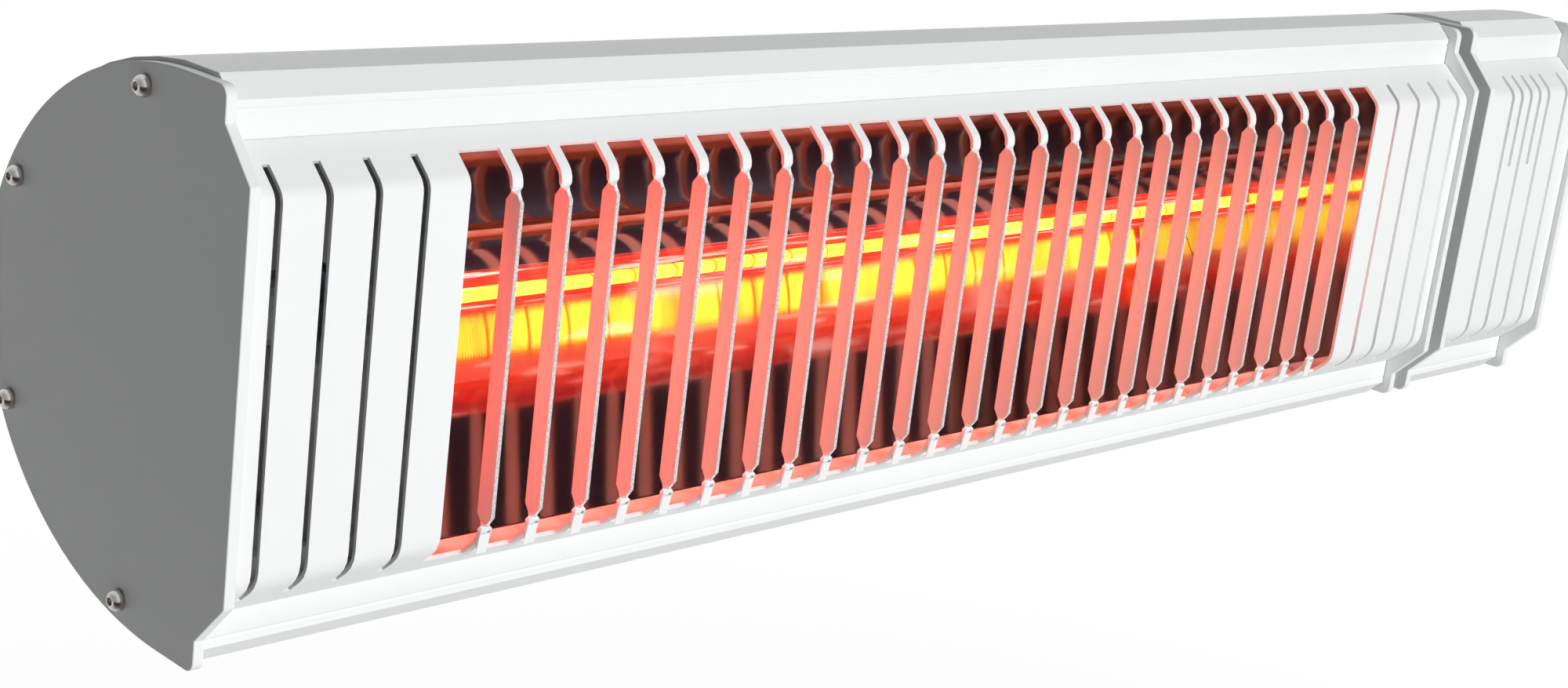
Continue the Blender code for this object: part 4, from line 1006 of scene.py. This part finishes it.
# The lamp's red glow, as four strips set round the tube
GLOW_OUT = 7 * MM
GLOW_WIDTH = 10 * MM
lamp_centre = centre("lamp_tube")
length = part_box("reflector")[1][0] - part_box("reflector")[0][0]
along = Vector((1, 0, 0))
upright = Vector((0, 0, 1))
for name, outward, power in (
    ("glow_front", Vector((0, -1, 0)), 0.21),
    ("glow_back", Vector((0, 1, 0)), 0.14),
    ("glow_up", upright, 0.14),
    ("glow_down", -upright, 0.10),
):
    glow(name, lamp_centre + outward * GLOW_OUT, outward, along, length, GLOW_WIDTH, power)

# The bright cheeks send the glow back along the window
CHEEK_OUT = 1 * MM
CHEEK_GLOW = 60 * MM
CHEEK_FRONT = 24 * MM
CHEEK_FRONT_WIDE = 14 * MM
left_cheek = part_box("reflector_cheek_left")[1][0] + CHEEK_OUT
right_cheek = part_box("reflector_cheek_right")[0][0] - CHEEK_OUT
for name, x, y, wide, tall, power in (
    ("glow_left_cheek", left_cheek, lamp_centre.y, CHEEK_GLOW, CHEEK_GLOW, 0.08),
    ("glow_left_cheek_front", left_cheek, front + CHEEK_FRONT, CHEEK_FRONT_WIDE, SLOT_LIGHT_TALL, 0.02),
    ("glow_right_cheek", right_cheek, lamp_centre.y, CHEEK_GLOW, CHEEK_GLOW, 0.06),
):
    inward = along if x < 0 else -along
    glow(name, Vector((x, y, lamp_centre.z)), inward, upright, tall, wide, power)

# The lamp's light gets round the right cheek to the first slot beside it
BY_WINDOW_DEPTH = 9 * MM
BY_WINDOW_WIDE = 6 * MM
BY_WINDOW_AIM = Vector((0.6, -0.8, 0))
start = Vector((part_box("reflector_cheek_right")[1][0] + CHEEK_OUT, front + BY_WINDOW_DEPTH, lamp_centre.z))
aim = start + BY_WINDOW_AIM
shine_inside("light_by_window", start, aim, BY_WINDOW_WIDE, SLOT_LIGHT_TALL, 0.004, "FF9A92")

# The reflector sends some of the room's light back on the inner side of the bars
RETURN_DEPTH = 80 * MM
RETURN_TALL = 40 * MM
start = Vector((lamp_centre.x, front + RETURN_DEPTH, lamp_centre.z))
returned = shine_inside("room_returned", start, start - Vector((0, 1, 0)), length, RETURN_TALL, 0.055)
returned.data.spread = radians(60)


# Floor

FLOOR_HALF = 15
FLOOR_HEIGHT = -0.9


def floor_finish():
    """Pale floor: white in view, under the heater's shadow, and dim in front where metal reflects it."""
    made, tree, shader = finish("pale_floor", "F6F6F6", 0.9)
    where = add(tree, "ShaderNodeTexCoord").outputs["Object"]
    spot = add(tree, "ShaderNodeSeparateXYZ", None, {"Vector": where})
    path = add(tree, "ShaderNodeLightPath")
    near = add(tree, "ShaderNodeMapping", {"Scale": (0.5, 0.5, 0.5)}, {"Vector": where})
    fade = add(
        tree, "ShaderNodeTexGradient", {"gradient_type": "SPHERICAL"}, {"Vector": near.outputs["Vector"]}
    )
    seen = add(
        tree,
        "ShaderNodeMath",
        {"operation": "MAXIMUM"},
        {0: path.outputs["Is Camera Ray"], 1: path.outputs["Is Glossy Ray"]},
    )
    shaded = add(tree, "ShaderNodeMapRange", {"To Min": 1.0, "To Max": 0.7}, {"Value": fade.outputs["Fac"]})
    amount = add(
        tree,
        "ShaderNodeMath",
        {"operation": "MULTIPLY"},
        {0: shaded.outputs["Result"], 1: seen.outputs["Value"]},
    )
    behind = add(
        tree, "ShaderNodeMapRange", {"From Min": -0.6, "From Max": 0.3}, {"Value": spot.outputs["Y"]}
    )
    plain = add(
        tree,
        "ShaderNodeMath",
        {"operation": "MAXIMUM"},
        {0: path.outputs["Is Camera Ray"], 1: behind.outputs["Result"]},
    )
    away = add(tree, "ShaderNodeMapRange", {"From Min": -2.5, "From Max": -9.0}, {"Value": spot.outputs["Y"]})
    ground = add(
        tree,
        "ShaderNodeMix",
        {"data_type": "RGBA", 6: from_hex(DARK_ROOM), 7: from_hex(FAR_ROOM)},
        {0: away.outputs["Result"]},
    )
    colour = add(
        tree,
        "ShaderNodeMix",
        {"data_type": "RGBA", 7: from_hex("FFFFFF")},
        {0: plain.outputs["Value"], 6: ground.outputs[2]},
    )
    bright = add(tree, "ShaderNodeEmission", {"Strength": 1.0}, {"Color": colour.outputs[2]})
    both = add(
        tree,
        "ShaderNodeMixShader",
        None,
        {0: amount.outputs["Value"], 1: shader.outputs["BSDF"], 2: bright.outputs["Emission"]},
    )
    tree.links.new(both.outputs["Shader"], tree.nodes["Material Output"].inputs["Surface"])
    return made


floor_mesh = bpy.data.meshes.new("floor")
work = bmesh.new()
bmesh.ops.create_grid(work, x_segments=1, y_segments=1, size=FLOOR_HALF)
work.to_mesh(floor_mesh)
work.free()
floor = bpy.data.objects.new("floor", floor_mesh)
floor.location = (0, 0, FLOOR_HEIGHT)
scene.collection.objects.link(floor)
floor_mesh.materials.append(floor_finish())


# Camera, with its place, axes and lens solved from the straight edges that the photograph shows

camera = bpy.data.objects.new("camera", bpy.data.cameras.new("camera"))
scene.collection.objects.link(camera)
camera.data.sensor_fit = "HORIZONTAL"
camera.data.sensor_width = 36
camera.data.lens = 57.53
camera.data.clip_start = 0.01
place = Vector((-0.61063, -0.66959, 0.19326))
right = Vector((0.70467, -0.69949, 0.11954))
up = Vector((0.11121, 0.27510, 0.95504))
back = Vector((-0.70079, -0.65962, 0.27152))
facing = Matrix((right, up, back)).transposed().to_4x4()
camera.matrix_world = Matrix.Translation(place) @ facing
scene.camera = camera
